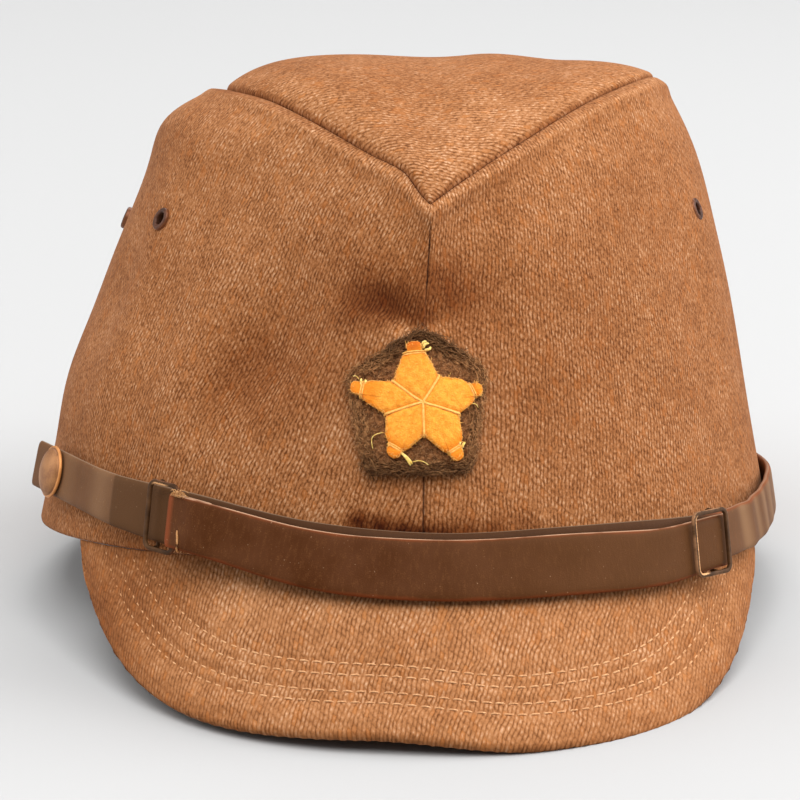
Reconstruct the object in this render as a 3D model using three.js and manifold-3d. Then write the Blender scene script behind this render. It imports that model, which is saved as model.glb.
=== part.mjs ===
// A cloth field cap that rests on the edge of its peak and the back of its rim.
// It is laid out with the rim in the plane z = 0 and the front towards -y, then tilted back to rest.
// Left and right are those of someone who looks at its front.
import * as THREE from 'three';
import { mergeVertices } from 'three/addons/utils/BufferGeometryUtils.js';
import Module from 'manifold-3d';

const wasm = await Module();
wasm.setup();

// Sizes are in millimetres. Angles are in degrees, round the rim from 0 at the front to 180 at the back.
const CLOTH = 2.4;
const GAP = 0.3;
const SEAM_GAP = 0.2;
const RIM_HALF_WIDTH = 89.4;
const RIM_HALF_LENGTH = 100;
const REST_TILT = 10.2;
const REST_HEIGHT = 15.5;

// Sections of each wall from the front seam to the back seam.
// rim: angle of its foot; out, y, z: its end on the top seam, out from the middle line;
// shoulder: how far it stands out from a straight line; at: where, from 0 at the rim to 1 at the seam.
const RIGHT_WALL = [
  { rim: 0, out: 0, y: -78, z: 77.8, shoulder: 5, at: 0.85 },
  { rim: 22, out: 18, y: -61, z: 89, shoulder: 6, at: 0.85 },
  { rim: 44, out: 38, y: -39, z: 100.4, shoulder: 9, at: 0.88 },
  { rim: 66, out: 54, y: -15, z: 106.8, shoulder: 9.5, at: 0.9 },
  { rim: 90, out: 60, y: 10, z: 107.4, shoulder: 9.8, at: 0.9 },
  { rim: 114, out: 55, y: 36, z: 104, shoulder: 10, at: 0.9 },
  { rim: 136, out: 40, y: 58, z: 98, shoulder: 11, at: 0.88 },
  { rim: 158, out: 19, y: 75, z: 92, shoulder: 8, at: 0.85 },
  { rim: 180, out: 0, y: 84, z: 89, shoulder: 6, at: 0.85 },
];
const LEFT_WALL = [
  { rim: 0, out: 0, y: -78, z: 77.8, shoulder: 5, at: 0.85 },
  { rim: 22, out: 15, y: -61, z: 89.8, shoulder: 7, at: 0.86 },
  { rim: 44, out: 33, y: -39, z: 100.6, shoulder: 12, at: 0.9 },
  { rim: 66, out: 44, y: -16, z: 104.5, shoulder: 19.5, at: 0.92 },
  { rim: 90, out: 46.5, y: 10, z: 104.8, shoulder: 22, at: 0.92 },
  { rim: 114, out: 44.5, y: 36, z: 102, shoulder: 21, at: 0.92 },
  { rim: 136, out: 34, y: 58, z: 97, shoulder: 14.5, at: 0.9 },
  { rim: 158, out: 18, y: 75, z: 92, shoulder: 9, at: 0.86 },
  { rim: 180, out: 0, y: 84, z: 89, shoulder: 6, at: 0.85 },
];
// The left seam drops more steeply into the front point: it is higher than its table just behind that.
const KNEE = 2.1;
const KNEE_AT = 0.05;
const KNEE_WIDE = 0.045;
const SEAM_X = 3.2;
const FRONT_HEIGHT = RIGHT_WALL[0].z;
const WALL_LENGTH = 300;
const WALL_HEIGHT = 100;
const WALL_COLUMNS = 36;
const WALL_ROWS = 10;

// Dents in the walls. t: from the front seam to the back seam; v: from the rim to the top seam;
// wide: half size in t; above and below: half sizes in v; climb: how far a slanting dent rises with t.
// The first two are one pinch across the front seam. A depth below 0 is where the soft left wall bags
// over its shoulder and the strap. The last row is the slanting hollow left of the badge.
const DENTS = [
  { side: 1, t: 0, v: 0.66, climb: 0, wide: 0.07, above: 0.17, below: 0.17, depth: 2.2 },
  { side: -1, t: 0, v: 0.66, climb: 0, wide: 0.07, above: 0.17, below: 0.17, depth: 2.2 },
  { side: -1, t: 0.3, v: 0.3, climb: 0, wide: 0.035, above: 0.24, below: 0.24, depth: 1.3 },
  { side: -1, t: 0.39, v: 0.34, climb: 0, wide: 0.03, above: 0.2, below: 0.2, depth: 1.1 },
  { side: 1, t: 0.33, v: 0.26, climb: 0, wide: 0.035, above: 0.2, below: 0.2, depth: 0.9 },
  { side: -1, t: 0.47, v: 0.78, climb: 0, wide: 0.2, above: 0.13, below: 0.13, depth: -3.6 },
  { side: -1, t: 0.42, v: 0.2, climb: 0, wide: 0.2, above: 0.09, below: 0.09, depth: -2.2 },
  { side: -1, t: 0.17, v: 0.3, climb: -1.3, wide: 0.05, above: 0.17, below: 0.09, depth: 3.5 },
];

// The top swells between its seams, steepest beside them and less on the right, with a shallow valley
// along its middle and a fold across it close behind the front point.
const TOP_PUFF = 7.5;
const TOP_SLANT = 0.42;
const SLANT_FROM = [0.15, 0.6];
const TOP_FLATNESS = 6;
const TOP_VALLEY = 1.6;
const VALLEY_WIDTH = 0.3;
const TOP_FOLD = 1.3;
const TOP_FOLD_AT = 0.1;
const TOP_FOLD_WIDE = 0.045;
const TOP_TIP = 0.006;
const TOP_COLUMNS = 10;
const TOP_ROWS = 30;

const PEAK_X = 1.9;
const PEAK_HALF_WIDTH = 80.5;
const PEAK_REACH_LEFT = 44.5;
const PEAK_REACH_RIGHT = 48.5;
const PEAK_TURN = [-14, 26];
const PEAK_SLOPE = 49;
const PEAK_SQUARE = 5.9;
const PEAK_ROUND = 0.63;
const PEAK_TIP = 0.996;
const PEAK_THICK = 3.6;
const PEAK_EDGE_THICK = 2.4;
const PEAK_SEAT = 0.4;
const PEAK_COLUMNS = 40;
const PEAK_ROWS = 6;

const FELT = 1.6;
const STAR_THICK = 1.2;
const BADGE_X = 0;
const BADGE_Z = 33;
// Corners of the badge's backing, from its top towards the left.
const BADGE_CORNERS = [
  { x: 0.9, z: 16.2 },
  { x: -15.1, z: 6.4 },
  { x: -11.6, z: -14.0 },
  { x: 10.4, z: -13.8 },
  { x: 13.8, z: 7.6 },
];
const STAR_X = 0.6;
const STAR_Z = 33.6;
// Tips and waists of the star in turn, from its top towards the left.
const STAR_CORNERS = [
  { radius: 13.4, angle: 6.8 },
  { radius: 7.5, angle: 53.5 },
  { radius: 15.6, angle: 78 },
  { radius: 8.2, angle: 109 },
  { radius: 13.9, angle: 149.4 },
  { radius: 7.1, angle: 180 },
  { radius: 14.8, angle: 210.5 },
  { radius: 7.6, angle: 249.2 },
  { radius: 12.5, angle: 282.5 },
  { radius: 6.3, angle: 332.6 },
];

const STRAP_WIDTH = 13;
const STRAP_END_WIDTH = 11;
const TAPER_LEFT = [30, 58];
const TAPER_RIGHT = [28, 50];
const STRAP_THICK = 1.6;
const STRAP_END_LEFT = -76.5;
const STRAP_END_RIGHT = 110.5;
const STRAP_STEPS = 64;
// The strap from button to button. angle: round the rim, minus on the left; z: height of its middle;
// off: its middle outside the rim's oval; lean: how far its face looks upward.
const STRAP = [
  { angle: -88, z: 16.8, off: -0.7, lean: 12 },
  { angle: -70, z: 14.6, off: -0.4, lean: 11 },
  { angle: -52, z: 11.6, off: 0.9, lean: 9 },
  { angle: -34, z: 7.5, off: 2.2, lean: 8 },
  { angle: -16, z: 2.4, off: 2.9, lean: 14 },
  { angle: 2, z: 0.0, off: 3.2, lean: 18 },
  { angle: 20, z: 0.4, off: 3.3, lean: 15 },
  { angle: 38, z: 0.9, off: 4.4, lean: 8 },
  { angle: 56, z: 2.4, off: 3.0, lean: 6 },
  { angle: 74, z: 6.1, off: 0.5, lean: 7 },
  { angle: 92, z: 7.6, off: 0.3, lean: 9 },
  { angle: 110, z: 9.2, off: 0.1, lean: 9 },
  { angle: 128, z: 10.5, off: 0.1, lean: 9 },
];
// The stiff left end runs straight on, off the crown: millimetres for each square degree past an angle.
const FLARE = 0.0095;
const FLARE_FROM = 61;
// A crease in the left part of the strap: its place and half length in degrees, and how far it stands off.
const CREASE_ANGLE = -50;
const CREASE_REACH = 12;
const CREASE = 1.1;
const MM_PER_DEGREE = 1.62;

const BUTTONS = [
  { name: 'button_left', angle: -68.3 },
  { name: 'button_right', angle: 104 },
];
const BUTTON_RADIUS = 6.2;
const BUTTON_DOME = 2.6;
const BUTTON_LIP = 0.5;
const POST_RADIUS = 1.3;
const POST_DEPTH = 1.0;

// The front strap lies over the back one, a little lower; its left end is folded round a slide's bar.
const FOLD_ANGLE = -35.2;
const TAIL_ANGLE = 46.9;
const DROP_LEFT = 0.4;
const DROP_MIDDLE = 2.2;
const DROP_RIGHT = 0.8;
const DROP_FROM = [-33, -8];
const DROP_TO = [32, 45];
const STRAP_GAP = 0.35;
const FRONT_WIDTH = 13.6;
const FRONT_END_WIDTH = 11.7;
const FRONT_LEFT = [-36, 0];
const FRONT_RIGHT = [18, 48];
const FOLD_THICK = 0.9;
const FOLD_RETURN = 8;
const RETURN_STEPS = 4;
const FOLD_STEPS = 8;
const FRONT_STEPS = 44;
// Where the front strap has its full thickness and lies flat, in degrees past the fold.
const FULL_AT = 4;
const FLAT_FROM = 2;
const FLAT_AT = 13;

const BAR_THICK = 0.9;
const BAR_WIDTH = 1.0;
const SLIDE_LEFT_HEIGHT = 15.8;
const SLIDE_RIGHT_HEIGHT = 14.9;
const SLIDE_DROP = 0.7;
const SLIDE_LEFT_WIDTH = 9.2;
const SLIDE_RIGHT_WIDTH = 13.4;
const SLIDE_RIGHT_ANGLE = 42.5;
// The slides, and the strap's two ends in them, stand askew: how far they lean back along the strap for each
// millimetre of height, and over how many degrees of the strap this fades.
const LEFT_ASKEW = 0.115;
const RIGHT_ASKEW = -0.06;
const ASKEW_FADE = 9;

// Eyelets: a flange rolled outside, a barrel through the cloth and a flange inside. t, v: as for dents.
const EYELETS = [
  { name: 'eyelet_right_front', side: 1, t: 0.38, v: 0.5 },
  { name: 'eyelet_right_rear', side: 1, t: 0.53, v: 0.5 },
  { name: 'eyelet_left_front', side: -1, t: 0.345, v: 0.5 },
  { name: 'eyelet_left_rear', side: -1, t: 0.52, v: 0.49 },
];
const EYELET_RADIUS = 2.8;
const EYELET_HOLE = 1.5;
const EYELET_BARREL = 2.1;
const EYELET_FLANGE = 0.65;
const EYELET_ROUND = 0.2;
const EYELET_SIDES = 14;
const BUTTON_SIDES = 20;
const DRILL_LENGTH = 12;

const WOOL = { color: '#b0733f', roughness: 0.95, metalness: 0 };
const FELT_BROWN = { color: '#4a2d1a', roughness: 0.95, metalness: 0 };
const FELT_YELLOW = { color: '#f2a33c', roughness: 0.95, metalness: 0 };
const LEATHER = { color: '#5d3a22', roughness: 0.6, metalness: 0 };
const PAINTED_METAL = { color: '#2a2320', roughness: 0.5, metalness: 0.6 };
const BUTTON_METAL = { color: '#9c6536', roughness: 0.45, metalness: 0.9 };

const rad = THREE.MathUtils.degToRad;
const clamp = THREE.MathUtils.clamp;
const lerp = THREE.MathUtils.lerp;
const smooth = THREE.MathUtils.smoothstep;
const vec = (x, y, z) => new THREE.Vector3(x, y, z);
const bell = (x) => Math.exp(-x * x);

// Reads one column of a table along a smooth curve, t = 0 at its first row and 1 at its last.
function column(rows, name, t) {
  const last = rows.length - 1;
  const at = clamp(t, 0, 1) * last;
  const i = Math.min(Math.floor(at), last - 1);
  const f = at - i;
  const p1 = rows[i][name];
  const p2 = rows[i + 1][name];
  const p0 = i > 0 ? rows[i - 1][name] : 2 * p1 - p2;
  const p3 = i + 2 <= last ? rows[i + 2][name] : 2 * p2 - p1;
  const slope1 = (p2 - p0) / 2;
  const slope2 = (p3 - p1) / 2;
  const rise = p2 - p1;
  return p1 + f * (slope1 + f * (3 * rise - 2 * slope1 - slope2 + f * (slope1 + slope2 - 2 * rise)));
}

// The height of the surface that the cap rests on, in the cap's own frame.
function restHeight(y) {
  return y * Math.tan(rad(REST_TILT)) - REST_HEIGHT;
}

function rimOutward(angle) {
  const x = Math.sin(rad(angle)) / RIM_HALF_WIDTH;
  const y = -Math.cos(rad(angle)) / RIM_HALF_LENGTH;
  return vec(x, y, 0).normalize();
}

function rimPoint(angle, out = 0) {
  const x = RIM_HALF_WIDTH * Math.sin(rad(angle));
  const y = -RIM_HALF_LENGTH * Math.cos(rad(angle));
  return vec(x, y, 0).addScaledVector(rimOutward(angle), out);
}

// The outer face of a wall: t from the front seam to the back seam, v from the rim to the top seam.
function wallPoint(side, t, v) {
  const rows = side > 0 ? RIGHT_WALL : LEFT_WALL;
  const angle = side * column(rows, 'rim', t);
  const outward = rimOutward(angle);
  const foot = rimPoint(angle);
  const seam = vec(SEAM_X + side * column(rows, 'out', t), column(rows, 'y', t), column(rows, 'z', t));
  if (side < 0) {
    seam.z += KNEE * bell((t - KNEE_AT) / KNEE_WIDE) * smooth(t, 0, KNEE_AT);
  }
  const shoulder = foot.clone().lerp(seam, column(rows, 'at', t));
  shoulder.addScaledVector(outward, column(rows, 'shoulder', t));
  const p = foot.multiplyScalar((1 - v) ** 2);
  p.addScaledVector(shoulder, 2 * v * (1 - v));
  p.addScaledVector(seam, v * v);
  for (const dent of DENTS.filter((row) => row.side === side)) {
    const rise = v - dent.v - dent.climb * (t - dent.t);
    const tall = rise > 0 ? dent.above : dent.below;
    const depth = dent.depth * bell((t - dent.t) / dent.wide) * bell(rise / tall);
    p.addScaledVector(outward, -depth);
  }
  return p;
}

// The top: t from its front point to its back point, w from the left seam to the right seam.
function topPoint(t, w) {
  const p = wallPoint(-1, t, 1).lerp(wallPoint(1, t, 1), w);
  const across = 2 * w - 1;
  const along = Math.sin(Math.PI * clamp(t, 0, 1)) ** 0.7;
  const slant = 1 - TOP_SLANT * smooth(across, ...SLANT_FROM);
  const puff = TOP_PUFF * slant * (1 - Math.abs(across) ** TOP_FLATNESS);
  p.z += along * (puff - TOP_VALLEY * bell(across / VALLEY_WIDTH));
  p.z += TOP_FOLD * bell((t - TOP_FOLD_AT) / TOP_FOLD_WIDE) * (1 - across ** 2) * along;
  return p;
}

// The normal of a face, from points a little to each side; edge keeps them on the face.
function normalOf(pointAt, u, v, edge) {
  const h = 0.002;
  const a = clamp(u, edge, 1 - edge);
  const b = clamp(v, edge, 1 - edge);
  const du = pointAt(a + h, b).sub(pointAt(a - h, b));
  const dv = pointAt(a, b + h).sub(pointAt(a, b - h));
  return du.cross(dv).normalize();
}

function wallNormal(side, t, v) {
  return normalOf((a, b) => wallPoint(side, a, b), t, v, 0.003).multiplyScalar(side);
}

function topNormal(t, w) {
  return normalOf(topPoint, t, w, 0.01).negate();
}

// How far in the inner faces of two or three sheets meet, for a thickness of 1.
function mitre(n1, n2) {
  return n1.clone().add(n2).divideScalar(1 + n1.dot(n2));
}

function corner(n1, n2, n3) {
  const n23 = n2.clone().cross(n3);
  const sum = n23.clone().add(n3.clone().cross(n1)).add(n1.clone().cross(n2));
  return sum.divideScalar(n1.dot(n23));
}

// From the top seam to where the inner faces meet; close to the front and back points they close up.
function seamInward(side, t) {
  const closing = 0.1;
  const seam = wallPoint(side, t, 1);
  const far = mitre(wallNormal(side, t, 1), topNormal(t, side > 0 ? 1 : 0)).multiplyScalar(-CLOTH);
  const end = t < 0.5 ? 0 : 1;
  const near = corner(wallNormal(1, end, 1), topNormal(end, 0.5), wallNormal(-1, end, 1));
  near.multiplyScalar(-CLOTH).addScaledVector(wallPoint(side, end, 1).sub(seam), 0.5);
  return near.lerp(far, smooth(Math.abs(t - end), 0, closing));
}

function wallInward(side, t, v) {
  if (v === 1) {
    return seamInward(side, t);
  }
  let n = wallNormal(side, t, v);
  if (t === 0 || t === 1) {
    n = mitre(n, wallNormal(-side, t, v));
  }
  if (v === 0) {
    n.z = 0;
  }
  return n.multiplyScalar(-CLOTH);
}

function topInward(t, w) {
  return seamInward(-1, t).lerp(seamInward(1, t), w);
}

function faceted(points, index) {
  const geometry = new THREE.BufferGeometry();
  geometry.setAttribute('position', new THREE.Float32BufferAttribute(points, 3));
  geometry.setIndex(index);
  return geometry;
}

// A closed sheet between a face and the same face moved by a vector at each point.
// It is flattened where it rests.
function sheet(pointAt, moveAt, columns, rows) {
  const at = (layer, i, j) => layer * (columns + 1) * (rows + 1) + j * (columns + 1) + i;
  const points = [];
  for (const layer of [0, 1]) {
    for (let j = 0; j <= rows; j++) {
      for (let i = 0; i <= columns; i++) {
        const p = pointAt(i / columns, j / rows);
        if (layer === 1) {
          p.add(moveAt(i / columns, j / rows));
        }
        p.z = Math.max(p.z, restHeight(p.y));
        points.push(p.x, p.y, p.z);
      }
    }
  }
  const index = [];
  const quad = (a, b, c, d) => index.push(a, b, c, a, c, d);
  for (let j = 0; j < rows; j++) {
    for (let i = 0; i < columns; i++) {
      quad(at(0, i, j), at(0, i + 1, j), at(0, i + 1, j + 1), at(0, i, j + 1));
      quad(at(1, i, j), at(1, i, j + 1), at(1, i + 1, j + 1), at(1, i + 1, j));
    }
  }
  for (let i = 0; i < columns; i++) {
    quad(at(0, i + 1, 0), at(0, i, 0), at(1, i, 0), at(1, i + 1, 0));
    quad(at(0, i, rows), at(0, i + 1, rows), at(1, i + 1, rows), at(1, i, rows));
  }
  for (let j = 0; j < rows; j++) {
    quad(at(0, 0, j), at(0, 0, j + 1), at(1, 0, j + 1), at(1, 0, j));
    quad(at(0, columns, j + 1), at(0, columns, j), at(1, columns, j), at(1, columns, j + 1));
  }
  return faceted(points, index);
}

function toSolid(geometry) {
  const plain = geometry.clone();
  plain.deleteAttribute('normal');
  plain.deleteAttribute('uv');
  const merged = mergeVertices(plain, 1e-4);
  return new wasm.Manifold(new wasm.Mesh({
    numProp: 3,
    vertProperties: new Float32Array(merged.attributes.position.array),
    triVerts: new Uint32Array(merged.index.array),
  }));
}

function fromSolid(solid) {
  const mesh = solid.getMesh();
  return faceted(mesh.vertProperties, Array.from(mesh.triVerts));
}

const cut = (geometry, tool) => fromSolid(toSolid(geometry).subtract(toSolid(tool)));
const join = (first, second) => fromSolid(toSolid(first).add(toSolid(second)));

// Turns a form made about +y so that it stands at a place along a direction.
function aim(geometry, place, direction, up = vec(0, 0, 1)) {
  const x = up.clone().cross(direction).normalize();
  const y = direction.clone().cross(x).normalize();
  const frame = new THREE.Matrix4().makeBasis(x, y, direction).setPosition(place);
  return geometry.rotateX(Math.PI / 2).applyMatrix4(frame);
}

function turned(profile, segments) {
  return new THREE.LatheGeometry(profile.map(([r, h]) => new THREE.Vector2(r, h)), segments);
}

const cap = new THREE.Group();

function addMesh(name, geometry, finish) {
  geometry.computeVertexNormals();
  const mesh = new THREE.Mesh(geometry, new THREE.MeshStandardMaterial(finish));
  mesh.name = name;
  cap.add(mesh);
}

// Crown: two walls with a hole for each eyelet, and the top between them.
for (const [name, side] of [['crown_side_right', 1], ['crown_side_left', -1]]) {
  const along = (u) => (side > 0 ? u : 1 - u);
  const inset = SEAM_GAP / WALL_LENGTH;
  const drop = SEAM_GAP / WALL_HEIGHT;
  const place = (u, v) => wallPoint(side, lerp(inset, 1 - inset, along(u)), v * (1 - drop));
  const move = (u, v) => wallInward(side, along(u), v);
  let wall = sheet(place, move, WALL_COLUMNS, WALL_ROWS);
  for (const e of EYELETS.filter((row) => row.side === side)) {
    const bore = EYELET_BARREL + GAP;
    const drill = new THREE.CylinderGeometry(bore, bore, DRILL_LENGTH, EYELET_SIDES);
    wall = cut(wall, aim(drill, wallPoint(side, e.t, e.v), wallNormal(side, e.t, e.v)));
  }
  addMesh(name, wall, WOOL);
}

const topAlong = (u) => lerp(TOP_TIP, 1 - TOP_TIP, u);
function topPlace(w, u) {
  const t = topAlong(u);
  const margin = SEAM_GAP / wallPoint(-1, t, 1).distanceTo(wallPoint(1, t, 1));
  return topPoint(t, lerp(margin, 1 - margin, w));
}
const topMove = (w, u) => topInward(topAlong(u), w);
addMesh('crown_top', sheet(topPlace, topMove, TOP_COLUMNS, TOP_ROWS), WOOL);

for (const e of EYELETS) {
  const inside = -CLOTH - GAP;
  const back = inside - EYELET_FLANGE;
  const front = GAP + EYELET_FLANGE;
  const profile = [
    [EYELET_HOLE, back],
    [EYELET_RADIUS - EYELET_ROUND, back],
    [EYELET_RADIUS - EYELET_ROUND, inside],
    [EYELET_BARREL, inside],
    [EYELET_BARREL, GAP],
    [EYELET_RADIUS, GAP],
    [EYELET_RADIUS - EYELET_ROUND, front - EYELET_ROUND],
    [EYELET_RADIUS - 3 * EYELET_ROUND, front],
    [EYELET_HOLE + EYELET_ROUND, front - EYELET_ROUND / 2],
    [EYELET_HOLE, GAP],
    [EYELET_HOLE, back],
  ];
  const place = wallPoint(e.side, e.t, e.v);
  const facing = wallNormal(e.side, e.t, e.v);
  addMesh(e.name, aim(turned(profile, EYELET_SIDES), place, facing), PAINTED_METAL);
}

// Peak: a stiff plate that slopes down from under the rim, its lines running straight to the front.
// u: from its left end to its right end; r: from the rim out to its edge.
function peakPoint(u, r) {
  const q = lerp(-PEAK_TIP, PEAK_TIP, u);
  const x = PEAK_X + q * PEAK_HALF_WIDTH;
  const angle = THREE.MathUtils.radToDeg(Math.asin(x / RIM_HALF_WIDTH));
  const p = rimPoint(angle, -CLOTH / 2);
  const reach = lerp(PEAK_REACH_LEFT, PEAK_REACH_RIGHT, smooth(x, ...PEAK_TURN));
  const far = r * reach * (1 - Math.abs(q) ** PEAK_SQUARE) ** PEAK_ROUND;
  p.y -= far * Math.cos(rad(PEAK_SLOPE));
  p.z -= far * Math.sin(rad(PEAK_SLOPE)) + PEAK_SEAT;
  return p;
}

function peakDown(u, r) {
  const thick = lerp(PEAK_THICK, PEAK_EDGE_THICK, smooth(r, 0.8, 1));
  const n = normalOf(peakPoint, u, r, 0.01);
  return n.multiplyScalar(n.z > 0 ? -thick : thick);
}

const peakPlace = (u, r) => peakPoint(u, 1 - r);
const peakMove = (u, r) => peakDown(u, 1 - r);
addMesh('peak', sheet(peakPlace, peakMove, PEAK_COLUMNS, PEAK_ROWS), WOOL);

// The place on the front of the crown with a given x and z, found in a few steps towards it.
function frontPoint(x, z) {
  const steps = 30;
  const side = x >= SEAM_X * z / FRONT_HEIGHT ? 1 : -1;
  let t = 0;
  let v = z / FRONT_HEIGHT;
  for (let i = 0; i < steps; i++) {
    const p = wallPoint(side, t, v);
    t = Math.max(t + side * (x - p.x) / WALL_LENGTH, 0);
    v += (z - p.z) / WALL_HEIGHT;
  }
  return wallPoint(side, t, v);
}

function frontNormal(x, z) {
  const h = 2.5;
  const across = frontPoint(x + h, z).sub(frontPoint(x - h, z));
  const up = frontPoint(x, z + h).sub(frontPoint(x, z - h));
  return across.cross(up).normalize();
}

// A flat form laid on the front of the crown: rings from its middle out to its outline.
function patch(outline, x0, z0, base, thick, rings) {
  const n = outline.length;
  const points = [];
  const index = [];
  for (const height of [base + thick, base]) {
    for (let k = 0; k <= rings; k++) {
      for (const [x, z] of k === 0 ? [[0, 0]] : outline) {
        const px = x0 + x * k / rings;
        const pz = z0 + z * k / rings;
        const p = frontPoint(px, pz).addScaledVector(frontNormal(px, pz), height);
        points.push(p.x, p.y, p.z);
      }
    }
  }
  const layer = 1 + rings * n;
  const at = (side, k, i) => side * layer + (k === 0 ? 0 : 1 + (k - 1) * n + i % n);
  for (let i = 0; i < n; i++) {
    for (const side of [0, 1]) {
      const face = (a, b, c) => (side === 0 ? index.push(a, b, c) : index.push(a, c, b));
      face(at(side, 0, 0), at(side, 1, i), at(side, 1, i + 1));
      for (let k = 1; k < rings; k++) {
        face(at(side, k, i), at(side, k + 1, i), at(side, k + 1, i + 1));
        face(at(side, k, i), at(side, k + 1, i + 1), at(side, k, i + 1));
      }
    }
    index.push(at(0, rings, i), at(1, rings, i), at(1, rings, i + 1));
    index.push(at(0, rings, i), at(1, rings, i + 1), at(0, rings, i + 1));
  }
  return faceted(points, index);
}

// Points along the sides of a polygon.
function sides(corners, steps) {
  return corners.flatMap(({ x, z }, i) => {
    const next = corners[(i + 1) % corners.length];
    const points = [];
    for (let k = 0; k < steps; k++) {
      points.push([lerp(x, next.x, k / steps), lerp(z, next.z, k / steps)]);
    }
    return points;
  });
}

const starCorners = STAR_CORNERS.map(({ radius, angle }) => ({
  x: -radius * Math.sin(rad(angle)),
  z: radius * Math.cos(rad(angle)),
}));
const backing = patch(sides(BADGE_CORNERS, 5), BADGE_X, BADGE_Z, GAP, FELT, 4);
const star = patch(sides(starCorners, 2), STAR_X, STAR_Z, 2 * GAP + FELT, STAR_THICK, 3);
addMesh('badge_backing', backing, FELT_BROWN);
addMesh('badge_star', star, FELT_YELLOW);

// Straps: place and directions of the strap at an angle round the cap.
function strapColumn(name, angle) {
  const first = STRAP[0].angle;
  const last = STRAP[STRAP.length - 1].angle;
  return column(STRAP, name, (angle - first) / (last - first));
}

function strapMiddle(angle) {
  const flare = FLARE * Math.max(-angle - FLARE_FROM, 0) ** 2;
  const crease = CREASE * Math.max(1 - Math.abs(angle - CREASE_ANGLE) / CREASE_REACH, 0);
  const p = rimPoint(angle, strapColumn('off', angle) + flare + crease);
  p.z = strapColumn('z', angle);
  return p;
}

function strapFrame(angle) {
  const along = strapMiddle(angle + 0.5).sub(strapMiddle(angle - 0.5)).normalize();
  const lean = rad(strapColumn('lean', angle));
  const face = rimOutward(angle).multiplyScalar(Math.cos(lean));
  face.z = Math.sin(lean);
  face.addScaledVector(along, -face.dot(along)).normalize();
  const up = face.clone().cross(along).normalize();
  return { place: strapMiddle(angle), along, face, up };
}

// A ribbon through stations, each with its place, its face and up directions, its thickness and width.
function ribbon(stations) {
  const corners = [[-1, -1], [1, -1], [1, 1], [-1, 1]];
  const points = [];
  for (const s of stations) {
    for (const [a, b] of corners) {
      const p = s.place.clone().addScaledVector(s.face, a * s.thick / 2);
      p.addScaledVector(s.up, b * s.wide / 2);
      points.push(p.x, p.y, p.z);
    }
  }
  const index = [];
  for (let i = 0; i + 1 < stations.length; i++) {
    for (let k = 0; k < 4; k++) {
      const a = i * 4 + k;
      const b = i * 4 + (k + 1) % 4;
      index.push(a, b, b + 4, a, b + 4, a + 4);
    }
  }
  const last = (stations.length - 1) * 4;
  index.push(0, 2, 1, 0, 3, 2, last, last + 1, last + 2, last, last + 2, last + 3);
  return faceted(points, index);
}

const backStations = [];
for (let i = 0; i <= STRAP_STEPS; i++) {
  const angle = lerp(STRAP_END_RIGHT, STRAP_END_LEFT, i / STRAP_STEPS);
  const taper = smooth(-angle, ...TAPER_LEFT) + smooth(angle, ...TAPER_RIGHT);
  const wide = lerp(STRAP_WIDTH, STRAP_END_WIDTH, taper);
  backStations.push({ ...strapFrame(angle), thick: STRAP_THICK, wide });
}
let strapBack = ribbon(backStations);

// Buttons: a dome on a post through the strap.
const domeSteps = 5;
for (const { name, angle } of BUTTONS) {
  const f = strapFrame(angle);
  const bore = POST_RADIUS + GAP;
  const drill = new THREE.CylinderGeometry(bore, bore, DRILL_LENGTH, BUTTON_SIDES);
  strapBack = cut(strapBack, aim(drill, f.place, f.face, f.up));
  const base = STRAP_THICK / 2 + GAP;
  const profile = [
    [0, -POST_DEPTH],
    [POST_RADIUS, -POST_DEPTH],
    [POST_RADIUS, base],
    [BUTTON_RADIUS - BUTTON_LIP, base],
  ];
  for (let i = 0; i < domeSteps; i++) {
    const turn = Math.PI / 2 * i / domeSteps;
    const height = base + BUTTON_LIP + (BUTTON_DOME - BUTTON_LIP) * Math.sin(turn);
    profile.push([BUTTON_RADIUS * Math.cos(turn), height]);
  }
  profile.push([0, base + BUTTON_DOME]);
  addMesh(name, aim(turned(profile, BUTTON_SIDES), f.place, f.face, f.up), BUTTON_METAL);
}
addMesh('strap_back', strapBack, LEATHER);

// Front strap: the return under the slide's bar, the fold round it, then the length to the free end.
const barSlot = BAR_THICK + 2 * GAP;
const frontLift = STRAP_THICK + STRAP_GAP;
const returnLift = STRAP_THICK / 2 + GAP + FOLD_THICK / 2;
const foldRadius = (barSlot + FOLD_THICK) / 2;
const barLift = returnLift + foldRadius;

function frontDrop(angle) {
  const left = lerp(DROP_LEFT, DROP_MIDDLE, smooth(angle, ...DROP_FROM));
  return left + (DROP_RIGHT - DROP_MIDDLE) * smooth(angle, ...DROP_TO);
}

function askew(angle) {
  const left = LEFT_ASKEW * smooth(FOLD_ANGLE + ASKEW_FADE - angle, 0, ASKEW_FADE);
  return left + RIGHT_ASKEW * smooth(angle - TAIL_ANGLE + ASKEW_FADE, 0, ASKEW_FADE);
}

function frontStation(angle, lift, thick) {
  const f = strapFrame(angle);
  f.place.addScaledVector(f.face, lift).addScaledVector(f.up, -frontDrop(angle));
  f.up.addScaledVector(f.along, -askew(angle));
  const wide = smooth(angle, ...FRONT_LEFT) * (1 - smooth(angle, ...FRONT_RIGHT));
  return { ...f, thick, wide: lerp(FRONT_END_WIDTH, FRONT_WIDTH, wide) };
}

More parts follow.
